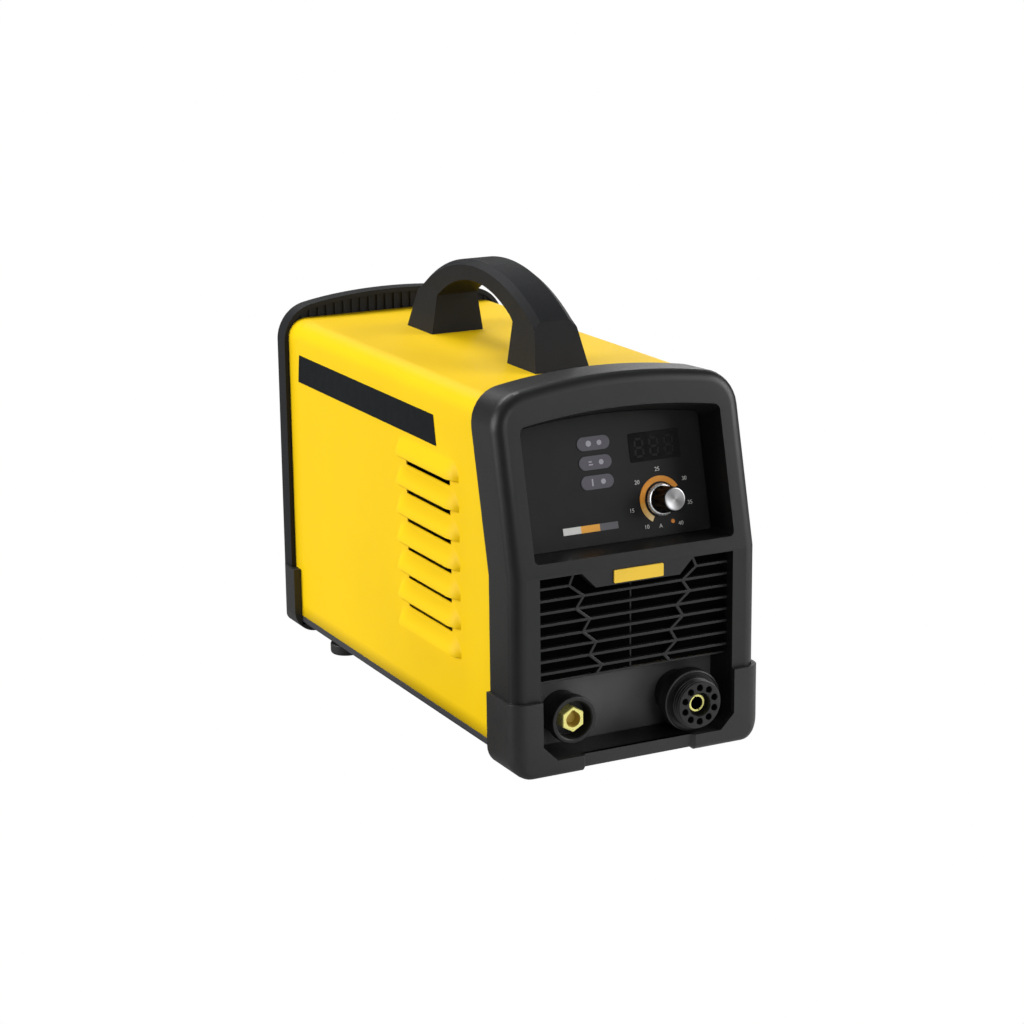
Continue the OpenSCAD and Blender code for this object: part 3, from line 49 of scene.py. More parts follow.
print("frame loaded:", len(frame["nodes"]), "nodes")


camera = {
    "place": (-0.6956, -1.3875, 0.5148),
    "turn": -26.829,  # degrees to the left of the front
    "tilt": 14.747,  # degrees down
    "roll": -0.649,
    "lens": 92.58,
}


def aimCamera():
    turn, tilt = math.radians(camera["turn"]), math.radians(camera["tilt"])
    forward = Vector((-math.sin(turn) * math.cos(tilt), math.cos(turn) * math.cos(tilt), -math.sin(tilt)))
    right = Vector((math.cos(turn), math.sin(turn), 0))
    up = right.cross(forward)
    roll = math.radians(camera["roll"])
    newRight = right * math.cos(roll) + up * math.sin(roll)
    newUp = newRight.cross(forward)
    data = bpy.data.cameras.new("camera")
    data.lens = camera["lens"]
    data.clip_end = 60
    eye = bpy.data.objects.new("camera", data)
    bpy.context.scene.collection.objects.link(eye)
    basis = Matrix((newRight, newUp, -forward)).transposed().to_4x4()
    eye.matrix_world = Matrix.Translation(camera["place"]) @ basis
    bpy.context.scene.camera = eye


def addLamp(name, place, size, power, target=(0, 0, 0.12)):
    data = bpy.data.lights.new(name, "AREA")
    data.shape = "DISK"
    data.size = size
    data.energy = power
    lamp = bpy.data.objects.new(name, data)
    bpy.context.scene.collection.objects.link(lamp)
    lamp.location = place
    lamp.rotation_euler = (Vector(target) - Vector(place)).to_track_quat("-Z", "Y").to_euler()


studio = {
    "sky": 0.08,  # what lights the object from all round
    "floor": 0.12,  # how pale the floor is for all but the camera
    "frontField": 0.85,  # glow of the floor in front on the right
    "backField": 0.24,  # glow of the floor behind on the left
    "fieldWay": (0.5, -0.866, 0),
    "fieldEdge": (0.35, 0.85),
    "fieldBlend": 0.2,
    "lamps": [
        ("leftLamp", (-3.2, 0.75, 1.2), 2.4, 120),
        ("rightLamp", (2.8, -1.6, 1.35), 2.6, 96),
        ("frontLamp", (-0.1, -2.9, 1.2), 1.4, 20),
        ("topLamp", (-0.2, 2.1, 3.0), 2.4, 80),
        ("backLamp", (2.9, 3.2, 1.3), 2.0, 26),
    ],
}


def paintWorld():
    world = bpy.data.worlds.new("studioSky")
    bpy.context.scene.world = world
    world.use_nodes = True
    nodes, links = world.node_tree.nodes, world.node_tree.links
    nodes.clear()
    out = nodes.new("ShaderNodeOutputWorld")
    mix = nodes.new("ShaderNodeMixShader")
    shades = []
    for strength in (studio["sky"], 1.0):
        sky = nodes.new("ShaderNodeBackground")
        sky.inputs["Color"].default_value = (1, 1, 1, 1)
        sky.inputs["Strength"].default_value = strength
        shades.append(sky.outputs[0])
    links.new(seenRays(nodes, links), mix.inputs["Fac"])
    links.new(shades[0], mix.inputs[1])
    links.new(shades[1], mix.inputs[2])
    links.new(mix.outputs[0], out.inputs["Surface"])


def seenRays(nodes, links):
    # 1 for rays from the camera, also through glass
    path = nodes.new("ShaderNodeLightPath")
    either = nodes.new("ShaderNodeMath")
    either.operation = "MAXIMUM"
    links.new(path.outputs["Is Camera Ray"], either.inputs[0])
    links.new(path.outputs["Is Transmission Ray"], either.inputs[1])
    return either.outputs[0]


def layFloor():
    bm = bmesh.new()
    bmesh.ops.create_grid(bm, x_segments=1, y_segments=1, size=20)
    mesh = bpy.data.meshes.new("floor")
    bm.to_mesh(mesh)
    bm.free()
    floor = bpy.data.objects.new("floor", mesh)
    bpy.context.scene.collection.objects.link(floor)
    mat = bpy.data.materials.new("paleFloor")
    mat.use_nodes = True
    nodes, links = mat.node_tree.nodes, mat.node_tree.links
    nodes.clear()
    out = nodes.new("ShaderNodeOutputMaterial")
    mix = nodes.new("ShaderNodeMixShader")
    both = nodes.new("ShaderNodeAddShader")
    matt = nodes.new("ShaderNodeBsdfDiffuse")
    matt.inputs["Color"].default_value = (studio["floor"],) * 3 + (1,)
    # two bright fields of the floor, in front on the right and behind on the left
    heading = nodes.new("ShaderNodeVectorMath")
    heading.operation = "NORMALIZE"
    links.new(nodes.new("ShaderNodeTexCoord").outputs["Object"], heading.inputs[0])
    share = nodes.new("ShaderNodeVectorMath")
    share.operation = "DOT_PRODUCT"
    share.inputs[1].default_value = studio["fieldWay"]
    links.new(heading.outputs[0], share.inputs[0])
    size = nodes.new("ShaderNodeMath")
    size.operation = "ABSOLUTE"
    links.new(share.outputs["Value"], size.inputs[0])
    field = nodes.new("ShaderNodeMapRange")
    field.inputs["From Min"].default_value = studio["fieldEdge"][0]
    field.inputs["From Max"].default_value = studio["fieldEdge"][1]
    links.new(size.outputs[0], field.inputs["Value"])
    side = nodes.new("ShaderNodeMapRange")
    side.inputs["From Min"].default_value = -studio["fieldBlend"]
    side.inputs["From Max"].default_value = studio["fieldBlend"]
    side.inputs["To Min"].default_value = studio["backField"]
    side.inputs["To Max"].default_value = studio["frontField"]
    links.new(share.outputs["Value"], side.inputs["Value"])
    bright = nodes.new("ShaderNodeEmission")
    power = nodes.new("ShaderNodeMath")
    power.operation = "MULTIPLY"
    links.new(field.outputs["Result"], power.inputs[0])
    links.new(side.outputs["Result"], power.inputs[1])
    links.new(power.outputs[0], bright.inputs["Strength"])
    links.new(matt.outputs[0], both.inputs[0])
    links.new(bright.outputs[0], both.inputs[1])
    glow = nodes.new("ShaderNodeEmission")
    glow.inputs["Strength"].default_value = 1.0
    links.new(seenRays(nodes, links), mix.inputs["Fac"])
    links.new(both.outputs[0], mix.inputs[1])
    links.new(glow.outputs[0], mix.inputs[2])
    links.new(mix.outputs[0], out.inputs["Surface"])
    mesh.materials.append(mat)


bpy.context.scene.view_settings.view_transform = "Standard"
aimCamera()
paintWorld()
for lamp in studio["lamps"]:
    addLamp(*lamp)
layFloor()
print("camera, lamps and floor ready")


class Finish:
    # one material with its shader and the place coordinates that its patterns read
    def __init__(self, name, colour, rough, metal=0.0, specular=0.5):
        self.mat = bpy.data.materials.new(name)
        self.mat.use_nodes = True
        self.nodes = self.mat.node_tree.nodes
        self.links = self.mat.node_tree.links
        self.shader = self.nodes["Principled BSDF"]
        self.shader.inputs["Base Color"].default_value = (*colour, 1)
        self.shader.inputs["Roughness"].default_value = rough
        self.shader.inputs["Metallic"].default_value = metal
        self.shader.inputs["Specular IOR Level"].default_value = specular
        self.place = self.nodes.new("ShaderNodeTexCoord").outputs["Object"]

    def noise(self, scale, detail=3.0, stretch=(1, 1, 1)):
        shift = self.nodes.new("ShaderNodeMapping")
        shift.inputs["Scale"].default_value = stretch
        self.links.new(self.place, shift.inputs["Vector"])
        node = self.nodes.new("ShaderNodeTexNoise")
        node.inputs["Scale"].default_value = scale
        node.inputs["Detail"].default_value = detail
        self.links.new(shift.outputs[0], node.inputs["Vector"])
        return node.outputs["Fac"]

    def spread(self, value, low, high, frm=0.3, to=0.7):
        node = self.nodes.new("ShaderNodeMapRange")
        node.inputs["From Min"].default_value = frm
        node.inputs["From Max"].default_value = to
        node.inputs["To Min"].default_value = low
        node.inputs["To Max"].default_value = high
        self.links.new(value, node.inputs["Value"])
        return node.outputs["Result"]

    def roughFrom(self, value, low, high):
        self.links.new(self.spread(value, low, high), self.shader.inputs["Roughness"])

    def tintFrom(self, value, dark, light, frm=0.3, to=0.7):
        mix = self.nodes.new("ShaderNodeMix")
        mix.data_type = "RGBA"
        mix.inputs["A"].default_value = (*dark, 1)
        mix.inputs["B"].default_value = (*light, 1)
        self.links.new(self.spread(value, 0, 1, frm, to), mix.inputs["Factor"])
        self.links.new(mix.outputs["Result"], self.shader.inputs["Base Color"])

    def bump(self, value, depth, strength=1.0):
        node = self.nodes.new("ShaderNodeBump")
        node.inputs["Distance"].default_value = depth
        node.inputs["Strength"].default_value = strength
        self.links.new(value, node.inputs["Height"])
        self.links.new(node.outputs[0], self.shader.inputs["Normal"])


def scaled(colour, share):
    return tuple(c * share for c in colour)


def mouldedPlastic(name, colour, rough, specular=0.4, grain=0.00003):
    f = Finish(name, colour, rough, specular=specular)
    f.tintFrom(f.noise(38), scaled(colour, 0.9), scaled(colour, 1.12))
    f.roughFrom(f.noise(900, 2), rough - 0.04, rough + 0.05)
    f.bump(f.noise(2600, 2), grain, 0.5)
    return f.mat


def powderCoat(name, colour, rough):
    f = Finish(name, colour, rough, specular=0.15)
    f.tintFrom(f.noise(14), scaled(colour, 0.975), scaled(colour, 1.015))
    f.roughFrom(f.noise(420, 2), rough - 0.03, rough + 0.04)
    f.bump(f.noise(650, 1.5), 0.00001, 0.15)
    return f.mat


def softRubber(name, colour, rough):
    f = Finish(name, colour, rough, specular=0.45)
    f.tintFrom(f.noise(60), scaled(colour, 0.88), scaled(colour, 1.15))
    f.roughFrom(f.noise(500, 2), rough - 0.05, rough + 0.05)
    f.bump(f.noise(1800, 3), 0.00004, 0.6)
    return f.mat


def plainMetal(name, colour, rough, stretch=(1, 1, 1), scale=600, metal=1.0):
    f = Finish(name, colour, rough, metal=metal)
    f.tintFrom(f.noise(30), scaled(colour, 0.92), colour)
    f.roughFrom(f.noise(scale, 3, stretch), max(rough - 0.07, 0.05), rough + 0.08)
    f.bump(f.noise(scale, 3, stretch), 0.00001, 0.4)
    return f.mat


def glossFilm(name, colour, rough, specular=0.4):
    f = Finish(name, colour, rough, specular=specular)
    f.tintFrom(f.noise(25), scaled(colour, 0.95), scaled(colour, 1.06))
    f.roughFrom(f.noise(160, 2), rough - 0.02, rough + 0.03)
    f.bump(f.noise(1500, 1), 0.000008, 0.3)
    return f.mat


def paintedSheenDisc(name, colour, centre, axis):
    # metal whose colour turns pale and dark by turns round its middle: a painted highlight that stands in for
    # the sheen of fine circular grain
    f = Finish(name, colour, 0.3, metal=1.0)
    turn = Vector(axis).to_track_quat("Z", "Y").to_matrix().to_4x4()
    inverse = (Matrix.Translation(centre) @ turn).inverted()
    shift = f.nodes.new("ShaderNodeMapping")
    shift.inputs["Location"].default_value = inverse.to_translation()
    shift.inputs["Rotation"].default_value = inverse.to_euler()
    f.links.new(f.place, shift.inputs["Vector"])
    spokes = f.nodes.new("ShaderNodeTexGradient")
    spokes.gradient_type = "RADIAL"
    f.links.new(shift.outputs[0], spokes.inputs["Vector"])
    beat = f.nodes.new("ShaderNodeMath")
    beat.operation = "MULTIPLY"
    beat.inputs[1].default_value = 4 * math.pi
    f.links.new(spokes.outputs["Fac"], beat.inputs[0])
    wave = f.nodes.new("ShaderNodeMath")
    wave.operation = "SINE"
    f.links.new(beat.outputs[0], wave.inputs[0])
    # two pale and two dark sectors round the axis: painted highlight and painted shade
    f.tintFrom(wave.outputs[0], scaled(colour, 0.42), colour, -1, 1)
    return f.mat


paint = {
    "black_plastic": mouldedPlastic("satinBlack", (0.0095, 0.0095, 0.0097), 0.4, 0.36),
    # paler than the other black parts: partly a paler plastic, partly painted light that makes up for the
    # shade of the deep recess
    "panel_plastic": mouldedPlastic("panelPlasticPaintedLight", (0.06, 0.06, 0.06), 0.45, 0.5),
    # dead black without gloss: painted shade, sheets behind the openings that stand in for the dark inside of
    # the case
    "painted_shade_black": mouldedPlastic("paintedShadeBlack", (0.002, 0.002, 0.002), 0.9, 0.0),
    "rear_plastic": mouldedPlastic("rearBlack", (0.0135, 0.014, 0.0155), 0.55, 0.12),
    "fascia_film": glossFilm("fasciaFilm", (0.006, 0.006, 0.0062), 0.4, 0.24),
    "smoked_window": glossFilm("smokedWindow", (0.006, 0.006, 0.0065), 0.15, 0.5),
    "indicator_lens": glossFilm("indicatorLens", (0.08, 0.076, 0.092), 0.45, 0.3),
    "dial_print": glossFilm("dialPrint", (0.8, 0.27, 0.03), 0.45),
    "board_green": glossFilm("boardGreen", (0.015, 0.1, 0.04), 0.35),
    "zinc_plate": plainMetal("zincPlate", (0.55, 0.56, 0.58), 0.35),
    "knob_black": mouldedPlastic("knobBlack", (0.006, 0.006, 0.0065), 0.4, 0.2),
    "silver_cap": plainMetal("silverSkirt", (0.8, 0.81, 0.82), 0.25, metal=0.6),
    "badge_yellow": glossFilm("badgeYellow", (0.86, 0.56, 0.04), 0.3),
    "bumper_rubber": softRubber("bumperRubber", (0.012, 0.012, 0.0122), 0.5),
    "brass": plainMetal("brass", (0.93, 0.88, 0.28), 0.3, metal=0.4),
    "hose_rubber": softRubber("hoseRubber", (0.02, 0.06, 0.18), 0.5),
    "tray_grey": powderCoat("trayGrey", (0.05, 0.05, 0.055), 0.5),
    "yellow_coat": powderCoat("yellowCoat", (0.94, 0.615, 0.003), 0.5),
    "label_black": glossFilm("bandBlack", (0.003, 0.0045, 0.006), 0.5, 0.1),
    "steel": plainMetal("brightSteel", (0.62, 0.63, 0.65), 0.28),
    "fan_plastic": mouldedPlastic("fanPlastic", (0.015, 0.015, 0.016), 0.45),
    "rocker_red": glossFilm("rockerRed", (0.45, 0.012, 0.01), 0.25, 0.5),
    "heatsink_alu": plainMetal("extrudedAluminium", (0.7, 0.71, 0.73), 0.35, (1, 0.04, 1)),
    "chip_black": mouldedPlastic("chipBlack", (0.012, 0.012, 0.013), 0.5),
    "ferrite": mouldedPlastic("ferrite", (0.04, 0.04, 0.042), 0.6),
    "copper_wire": plainMetal("copperWire", (0.62, 0.26, 0.1), 0.3, (1, 1, 12), 300),
    "capacitor_blue": glossFilm("capacitorSleeve", (0.02, 0.06, 0.2), 0.3),
}
print("materials ready:", len(paint))


slotOf = {s["node"]: s["material_slot"] for s in frame["record"]["subparts"]}
bodyOf = {n: b for b, names in frame["record"]["behaviour"]["bodies"].items() for n in names}


def keep(name, bm, slot, body, replaces=(), mats=None, smooth=40):
    # turns a bmesh into a finished piece that rides on its body
    mesh = bpy.data.meshes.new(name)
    bm.to_mesh(mesh)
    bm.free()
    for mat in mats or [paint[slot]]:
        mesh.materials.append(mat)
    piece = bpy.data.objects.new(name, mesh)
    bpy.context.scene.collection.objects.link(piece)
    shade(mesh, smooth)
    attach(piece, body)
    if replaces:
        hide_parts(*replaces)
    return piece


def shade(mesh, smooth):
    for face in mesh.polygons:
        face.use_smooth = True
    mesh.set_sharp_from_angle(angle=math.radians(smooth))


def rounded(piece, width, segments=2, angle=32):
    bevel = piece.modifiers.new("edges", "BEVEL")
    bevel.width = width
    bevel.segments = segments
    bevel.limit_method = "ANGLE"
    bevel.angle_limit = math.radians(angle)
    bevel.harden_normals = False
    bevel.miter_outer = "MITER_ARC"
    normals = piece.modifiers.new("faces", "WEIGHTED_NORMAL")
    normals.keep_sharp = True
    normals.weight = 60
    return piece


def merged(node, joinFlats=False):
    # a copy of a construction mesh; flat faces without holes can be joined
    bm = bmesh.new()
    bm.from_mesh(frame["nodes"][node].data)
    bmesh.ops.remove_doubles(bm, verts=bm.verts, dist=3e-6)
    if joinFlats:
        bmesh.ops.dissolve_limit(bm, angle_limit=math.radians(0.5), verts=bm.verts, edges=bm.edges)
    return bm


def dress(node, name, width=0.0, segments=2, joinFlats=False, mats=None):
    # a copy of a construction piece with its edges rounded
    piece = keep(name, merged(node, joinFlats), slotOf[node], bodyOf[node], [node], mats)
    if width:
        rounded(piece, width, segments)
    return piece


body = {
    "width": 156.0,
    "height": 220.0,
    "crown": 365.0,
    "corner": 22.0,
    "kink": 115.0,
    "lean": 13.5,
    "length": 333.0,
}
frontY = -body["length"] / 2
lean = math.radians(body["lean"])
slopeLength = (body["height"] - body["kink"]) / math.cos(lean)


def crownPoints(width, top, bigR, smallR, inset=0.0, arcSteps=8, topSteps=24):
    # points of the crowned upper outline from left to right, moved inwards by inset
    cx = width / 2 - smallR
    base = top - bigR
    cz = base + math.sqrt((bigR - smallR) ** 2 - cx * cx)
    turn = math.degrees(math.asin(cx / (bigR - smallR)))
    small, big = smallR - inset, bigR - inset

    def at(x, z, r, a):
        return (x + r * math.cos(math.radians(a)), z + r * math.sin(math.radians(a)))

    left = [at(-cx, cz, small, 180 - i * (90 - turn) / arcSteps) for i in range(arcSteps + 1)]
    top = [at(0, base, big, 90 + turn - i * 2 * turn / topSteps) for i in range(1, topSteps)]
    right = [at(cx, cz, small, 90 - turn - i * (90 - turn) / arcSteps) for i in range(arcSteps + 1)]
    return left + top + right


def onSlope(u, s, t=0.0):
    # across, up the leaning face and out of it
    return Vector((u, frontY + s * math.sin(lean) - t * math.cos(lean),
                   body["kink"] + s * math.cos(lean) + t * math.sin(lean)))


def onFront(x, z, d=0.0):
    return Vector((x, frontY + d, z))


def addLoop(bm, points):
    verts = [bm.verts.new(p * mm) for p in points]
    return [bm.edges.new((verts[i], verts[(i + 1) % len(verts)])) for i in range(len(verts))]


def bridge(bm, loops):
    for a, b in zip(loops, loops[1:]):
        bmesh.ops.bridge_loops(bm, edges=a + b)


def fillFlat(bm, *loops):
    # fills a flat outline that may have holes
    edges = [e for loop in loops for e in loop]
    bmesh.ops.triangle_fill(bm, edges=edges, use_beauty=True, use_dissolve=False)


bezel = {
    "depth": 29.5,
    "wall": 2.8,
    "edge": 8.0,
    "rise": 4.0,  # how much the top climbs towards the cover
    "foot": 3.6,
    "innerFoot": 6.6,  # lower end of the wall's inner side
    "footCorner": 11.0,
    "footSteps": 5,
    "recessHalf": 63.4,
    "recessLow": 7.3,
    "recessHigh": 87.5,
    "recessDepth": 23.7,
    "fasciaHalf": 62.6,
    "fasciaLow": 11.5,
    "fasciaHigh": 84.9,
    "windowHalf": 61.5,
    "grilleLow": 52.8,
    "grilleHigh": 114.0,
    "railTop": 9.5,
    "panelDepth": 23.7,
    "chamfer": 8.8,
}


def bezelRing(d, inset, low, rise=0.0):
    # left lower corner, left side, crown, right side, right lower corner
    kink = -d * math.tan(lean / 2)
    side = body["width"] / 2 - inset
    r, steps = bezel["footCorner"], bezel["footSteps"]
    angles = [math.radians(90 * (1 - i / steps)) for i in range(steps + 1)]
    wide, high = r - inset, r + bezel["foot"] - low
    corner = [(wide - side - wide * math.cos(a), low + high - high * math.sin(a)) for a in angles]
    crown = crownPoints(body["width"], slopeLength, body["crown"], body["corner"], inset)
    points = [onFront(x, z, d) for x, z in corner] + [onFront(-side, body["kink"] + kink, d)]
    points += [onSlope(u, s + rise, -d) for u, s in crown]
    points += [onFront(side, body["kink"] + kink, d)]
    return points + [onFront(-x, z, d) for x, z in reversed(corner)]


def recessRing(d, grow=0.0):
    share = d / bezel["recessDepth"]
    half = bezel["recessHalf"] + (bezel["fasciaHalf"] + 0.2 - bezel["recessHalf"]) * share + grow
    low = bezel["recessLow"] + (bezel["fasciaLow"] - bezel["recessLow"]) * share - grow
    high = bezel["recessHigh"] + (bezel["fasciaHigh"] - bezel["recessHigh"]) * share + grow
    crown = crownPoints(2 * half, high, body["crown"] + 20, 4.0 + grow, 0, 6, 20)
    soft = 3.0
    ring = [onSlope(half - soft * (1 - math.sin(a)), low + soft * (1 - math.cos(a)), -d)
            for a in [math.radians(90 - 22.5 * i) for i in range(5)]]
    ring += [onSlope(-half + soft * (1 - math.cos(a)), low + soft * (1 - math.sin(a)), -d)
             for a in [math.radians(90 - 22.5 * i) for i in range(5)]]
    return ring + [onSlope(u, s, -d) for u, s in crown]


def windowRing(d, grow=0.0):
    # one opening for the grille and the sockets, with the badge's tab at its top
    half, high, tab = bezel["windowHalf"] + grow, bezel["grilleHigh"] + grow, bezel["grilleHigh"] - 9 + grow
    rail, c = bezel["railTop"] - grow, bezel["chamfer"]
    flat = [(-half, high), (-half, rail + c), (c - half, rail),
            (half - c, rail), (half, rail + c), (half, high),
            (35.5 - grow, high), (26.8 - grow, tab), (grow - 26.8, tab), (grow - 35.5, high)]
    return [onFront(x, z, d) for x, z in flat]


def faceLoops(bm, d, inset, low, grow):
    # the front's outline, split at the kink, and its two openings
    ring = bezelRing(d, inset, low)
    loop = addLoop(bm, ring)
    holes = [addLoop(bm, recessRing(d, grow)), addLoop(bm, windowRing(d, grow))]
    k = bezel["footSteps"] + 1
    far = len(loop) - 1 - k
    kinkEdge = bm.edges.new((loop[k].verts[0], loop[far].verts[0]))
    upper = loop[k:far] + [kinkEdge]
    lower = loop[:k] + loop[far:] + [kinkEdge]
    fillFlat(bm, upper, holes[0])
    fillFlat(bm, lower, holes[1])
    return loop, holes


def buildBezel():
    bm = bmesh.new()
    steps = 7
    wall, edge, depth = bezel["wall"], bezel["edge"], bezel["depth"]
    front, frontHoles = faceLoops(bm, 0, edge, bezel["foot"], 0)
    outer = [front]
    for i in range(1, steps + 1):
        a = math.radians(90 * i / steps)
        d, inset = edge * (1 - math.cos(a)), edge * (1 - math.sin(a))
        outer.append(addLoop(bm, bezelRing(d, inset, bezel["foot"])))
    outer.append(addLoop(bm, bezelRing(depth, 0, bezel["foot"], bezel["rise"])))
    low = bezel["innerFoot"]
    inner = [addLoop(bm, bezelRing(depth, wall, low, bezel["rise"])),
             addLoop(bm, bezelRing(edge, wall, low, -0.4))]
    back, backHoles = faceLoops(bm, wall, edge - 1.5, low, wall * 0.6)
    bridge(bm, outer + inner + [back])
    reach = [bezel["recessDepth"] + 3, bezel["panelDepth"]]
    for ringOf, near, far, deep in zip((recessRing, windowRing), frontHoles, backHoles, reach):
        bridge(bm, [near, addLoop(bm, ringOf(deep, 0)), addLoop(bm, ringOf(deep, wall * 0.6)), far])
    bmesh.ops.recalc_face_normals(bm, faces=bm.faces)
    piece = keep("bezelShell", bm, "black_plastic", "case", ["front_bezel"], smooth=50)
    return rounded(piece, 0.0008, 3, 50)


buildBezel()
print("bezel built")


cover = {
    "half": 75.0,
    "top": 208.0,
    "bottom": 13.0,
    "bend": 12.0,
    "sheet": 1.2,
    "front": 26.7,
    "rear": 321.0,
}
louvre = {
    "count": 7,
    "pitch": 17.3,
    "lip": 155.6,  # height of the highest lip
    "front": 72.0,
    "length": 82.0,
    "high": 11.5,
    "out": 4.9,
    "end": 13.0,
    "slotFrom": 83.5,
    "slotTo": 142.5,
}


def hoodOut(d, z):
    # how far the louvred side stands out at distance d behind the front rim and height z
    step = round((louvre["lip"] + louvre["high"] / 2 - z) / louvre["pitch"])
    if not 0 <= step < louvre["count"]:
        return 0.0
    v = (z - louvre["lip"] + step * louvre["pitch"]) / louvre["high"]
    if v < -1e-6 or v >= 1:
        return 0.0
    near = louvre["front"] + louvre["end"]
    far = louvre["front"] + louvre["length"] - louvre["end"]
    w = max(0.0, near - d, d - far) / louvre["end"]
    limit = math.sqrt(1 - v * v)
    if w >= limit:
        return 0.0
    return louvre["out"] * (1 - v * v) ** 1.5 * (1 - (w / limit) ** 3) ** 0.75


def sideRows():
    # heights of the grid's rows on a side, with the rows that a slot lies between
    rows, slots = [cover["bottom"], 22, 34], []
    for i in reversed(range(louvre["count"])):
        lip = louvre["lip"] - i * louvre["pitch"]
        rows.append(lip - 5.2)
        if i < louvre["count"] - 1:
            slots += [len(rows) - 1, len(rows)]
        rows += [lip - 1.4, lip]
        rows += [lip + louvre["high"] * v for v in (0.07, 0.15, 0.25, 0.36, 0.48, 0.6, 0.72, 0.84, 0.93)]
    rows += [louvre["lip"] + louvre["high"], 178, 187]
    return rows, slots


def buildCover():
    rows, slots = sideRows()
    half, top, bend = cover["half"], cover["top"], cover["bend"]
    middle = louvre["front"] + louvre["length"] / 2
    near = [70, 72, 73, 74.5, 76.5, 79, 81.5, 83.5, 85.5, 87.5, 95, 104]
    stations = [60] + near + [middle] + [2 * middle - d for d in reversed(near)] + [180, 215, 250, 285, 305]
    left = [(-half, z) for z in rows] + [
        (bend - half - bend * math.cos(a), top - bend + bend * math.sin(a))
        for a in [math.radians(90 * i / 9) for i in range(10)]]
    profile = left + [(0, top)] + [(-x, z) for x, z in reversed(left)]
    kink = body["kink"] - bezel["depth"] * math.tan(lean / 2)
    topFront = cover["front"] + (top - body["kink"]) * math.tan(lean) + 1
    bm = bmesh.new()
    grid = []
    for x, z in profile:
        share = max(0.0, (z - kink) / (top + 1 - kink))
        front = cover["front"] + (topFront - cover["front"]) * share
        line = [front, front + 1.5] + stations + [cover["rear"]]
        side = -1 if x < 0 else 1
        wall = abs(x) == half
        grid.append([bm.verts.new(onFront(x + side * hoodOut(d, z) if wall else x, z, d) * mm) for d in line])
    columns = [0, 0] + stations + [0]
    last = len(profile) - 2
    for k in range(len(profile) - 1):
        row = min(k, last - k)
        for j in range(len(grid[0]) - 1):
            slotColumn = louvre["slotFrom"] - 0.01 < columns[j] < louvre["slotTo"] - 0.01
            if row in slots and slotColumn:
                continue
            bm.faces.new((grid[k][j], grid[k + 1][j], grid[k + 1][j + 1], grid[k][j + 1]))
    bm.normal_update()
    outward = min(bm.faces, key=lambda face: face.calc_center_median().x)
    if outward.normal.x > 0:
        bmesh.ops.reverse_faces(bm, faces=bm.faces)
    piece = keep("coverSheet", bm, "yellow_coat", "case", ["cover"], smooth=38)
    wall = piece.modifiers.new("sheet", "SOLIDIFY")
    wall.thickness = cover["sheet"] * mm
    wall.offset = -1
    return piece


buildCover()
print("cover built")


grille = {
    "bars": 8,
    "pitch": 6.98,
    "topBar": 106.6,
    "barHigh": 1.7,
    "ribWide": 1.7,
    "front": 5.4,
    "back": 8.6,
    "half": 61.3,
    "screen": (8.95, 9.75),  # front and back of the dust screen, a dead black sheet that is painted shade for the dark inside of the case
}


def prism(bm, flat, near, far, place=onFront):
    # a closed body between two depths over a flat outline
    loops = [addLoop(bm, [place(x, z, d) for x, z in flat]) for d in (near, far)]
    bridge(bm, loops)
    for loop in loops:
        bmesh.ops.contextual_create(bm, geom=loop)


def ribbon(points, width):
    # outline of a bent strip with mitred corners
    sides = [[], []]
    for i, point in enumerate(points):
        here = Vector(point)
        before = (here - Vector(points[i - 1])).normalized() if i else None
        after = (Vector(points[i + 1]) - here).normalized() if i < len(points) - 1 else None
        along = ((before or after) + (after or before)).normalized()
        across = Vector((-along.y, along.x))
        first = before or after
        reach = width / 2 / max(0.5, across.dot(Vector((-first.y, first.x))))
        sides[0].append(here + across * reach)
        sides[1].append(here - across * reach)
    return [tuple(p) for p in sides[0] + sides[1][::-1]]


def zigzag():
    # corner points of one rib, from the opening's upper edge down
    low = bezel["grilleLow"]
    points = [(37.5, bezel["grilleHigh"] - 0.3)]
    for i in range(grille["bars"]):
        x = 40.6 - 2.1 * i if i % 2 == 0 else 33.4 - 1.92 * i
        points.append((x, grille["topBar"] - i * grille["pitch"]))
    return points + [(40.6 - 2.1 * 8, low + 0.3)]


def buildGrille():
    bm = bmesh.new()
    near, far, half = grille["front"], grille["back"], grille["half"]
    rib = zigzag()
    for i in range(grille["bars"]):
        z = grille["topBar"] - i * grille["pitch"]
        low, high = z - grille["barHigh"] / 2, z + grille["barHigh"] / 2
        spans = [(-half, half)] if i else [(-half, -rib[1][0]), (rib[1][0], half)]
        for a, b in spans:
            prism(bm, [(a, low), (b, low), (b, high), (a, high)], near, far)
    for side in (-1, 1):
        prism(bm, ribbon([(side * x, z) for x, z in rib], grille["ribWide"]), near - 0.1, far - 0.4)
    low, high = bezel["grilleLow"] + 0.2, bezel["grilleHigh"] - 9.2
    prism(bm, [(-0.6, low), (0.6, low), (0.6, high), (-0.6, high)], far + 0.2, far + 2.5)
    rail = [(-half, low - 1.8), (half, low - 1.8), (half, low - 0.4), (-half, low - 0.4)]
    prism(bm, rail, far, bezel["panelDepth"])
    bmesh.ops.recalc_face_normals(bm, faces=bm.faces)
    rounded(keep("grilleBars", bm, "black_plastic", "case", ["front_grille"]), 0.0003)


buildGrille()
print("grille built")

bumper = {
    "wall": 2.0,
    "out": 3.0,
    "high": 44.4,
    "deep": 30.5,
    "corner": 12.5,
    "edge": 9.0,  # rounding of the upright front edges
    "lowEdge": 3.5,  # rounding of the lower front edge
    "foot": 36.0,
    "chamfer": 2.0,
    "stepBack": 2.4,
    "stepUp": 1.5,
    "thick": 2.9,
}


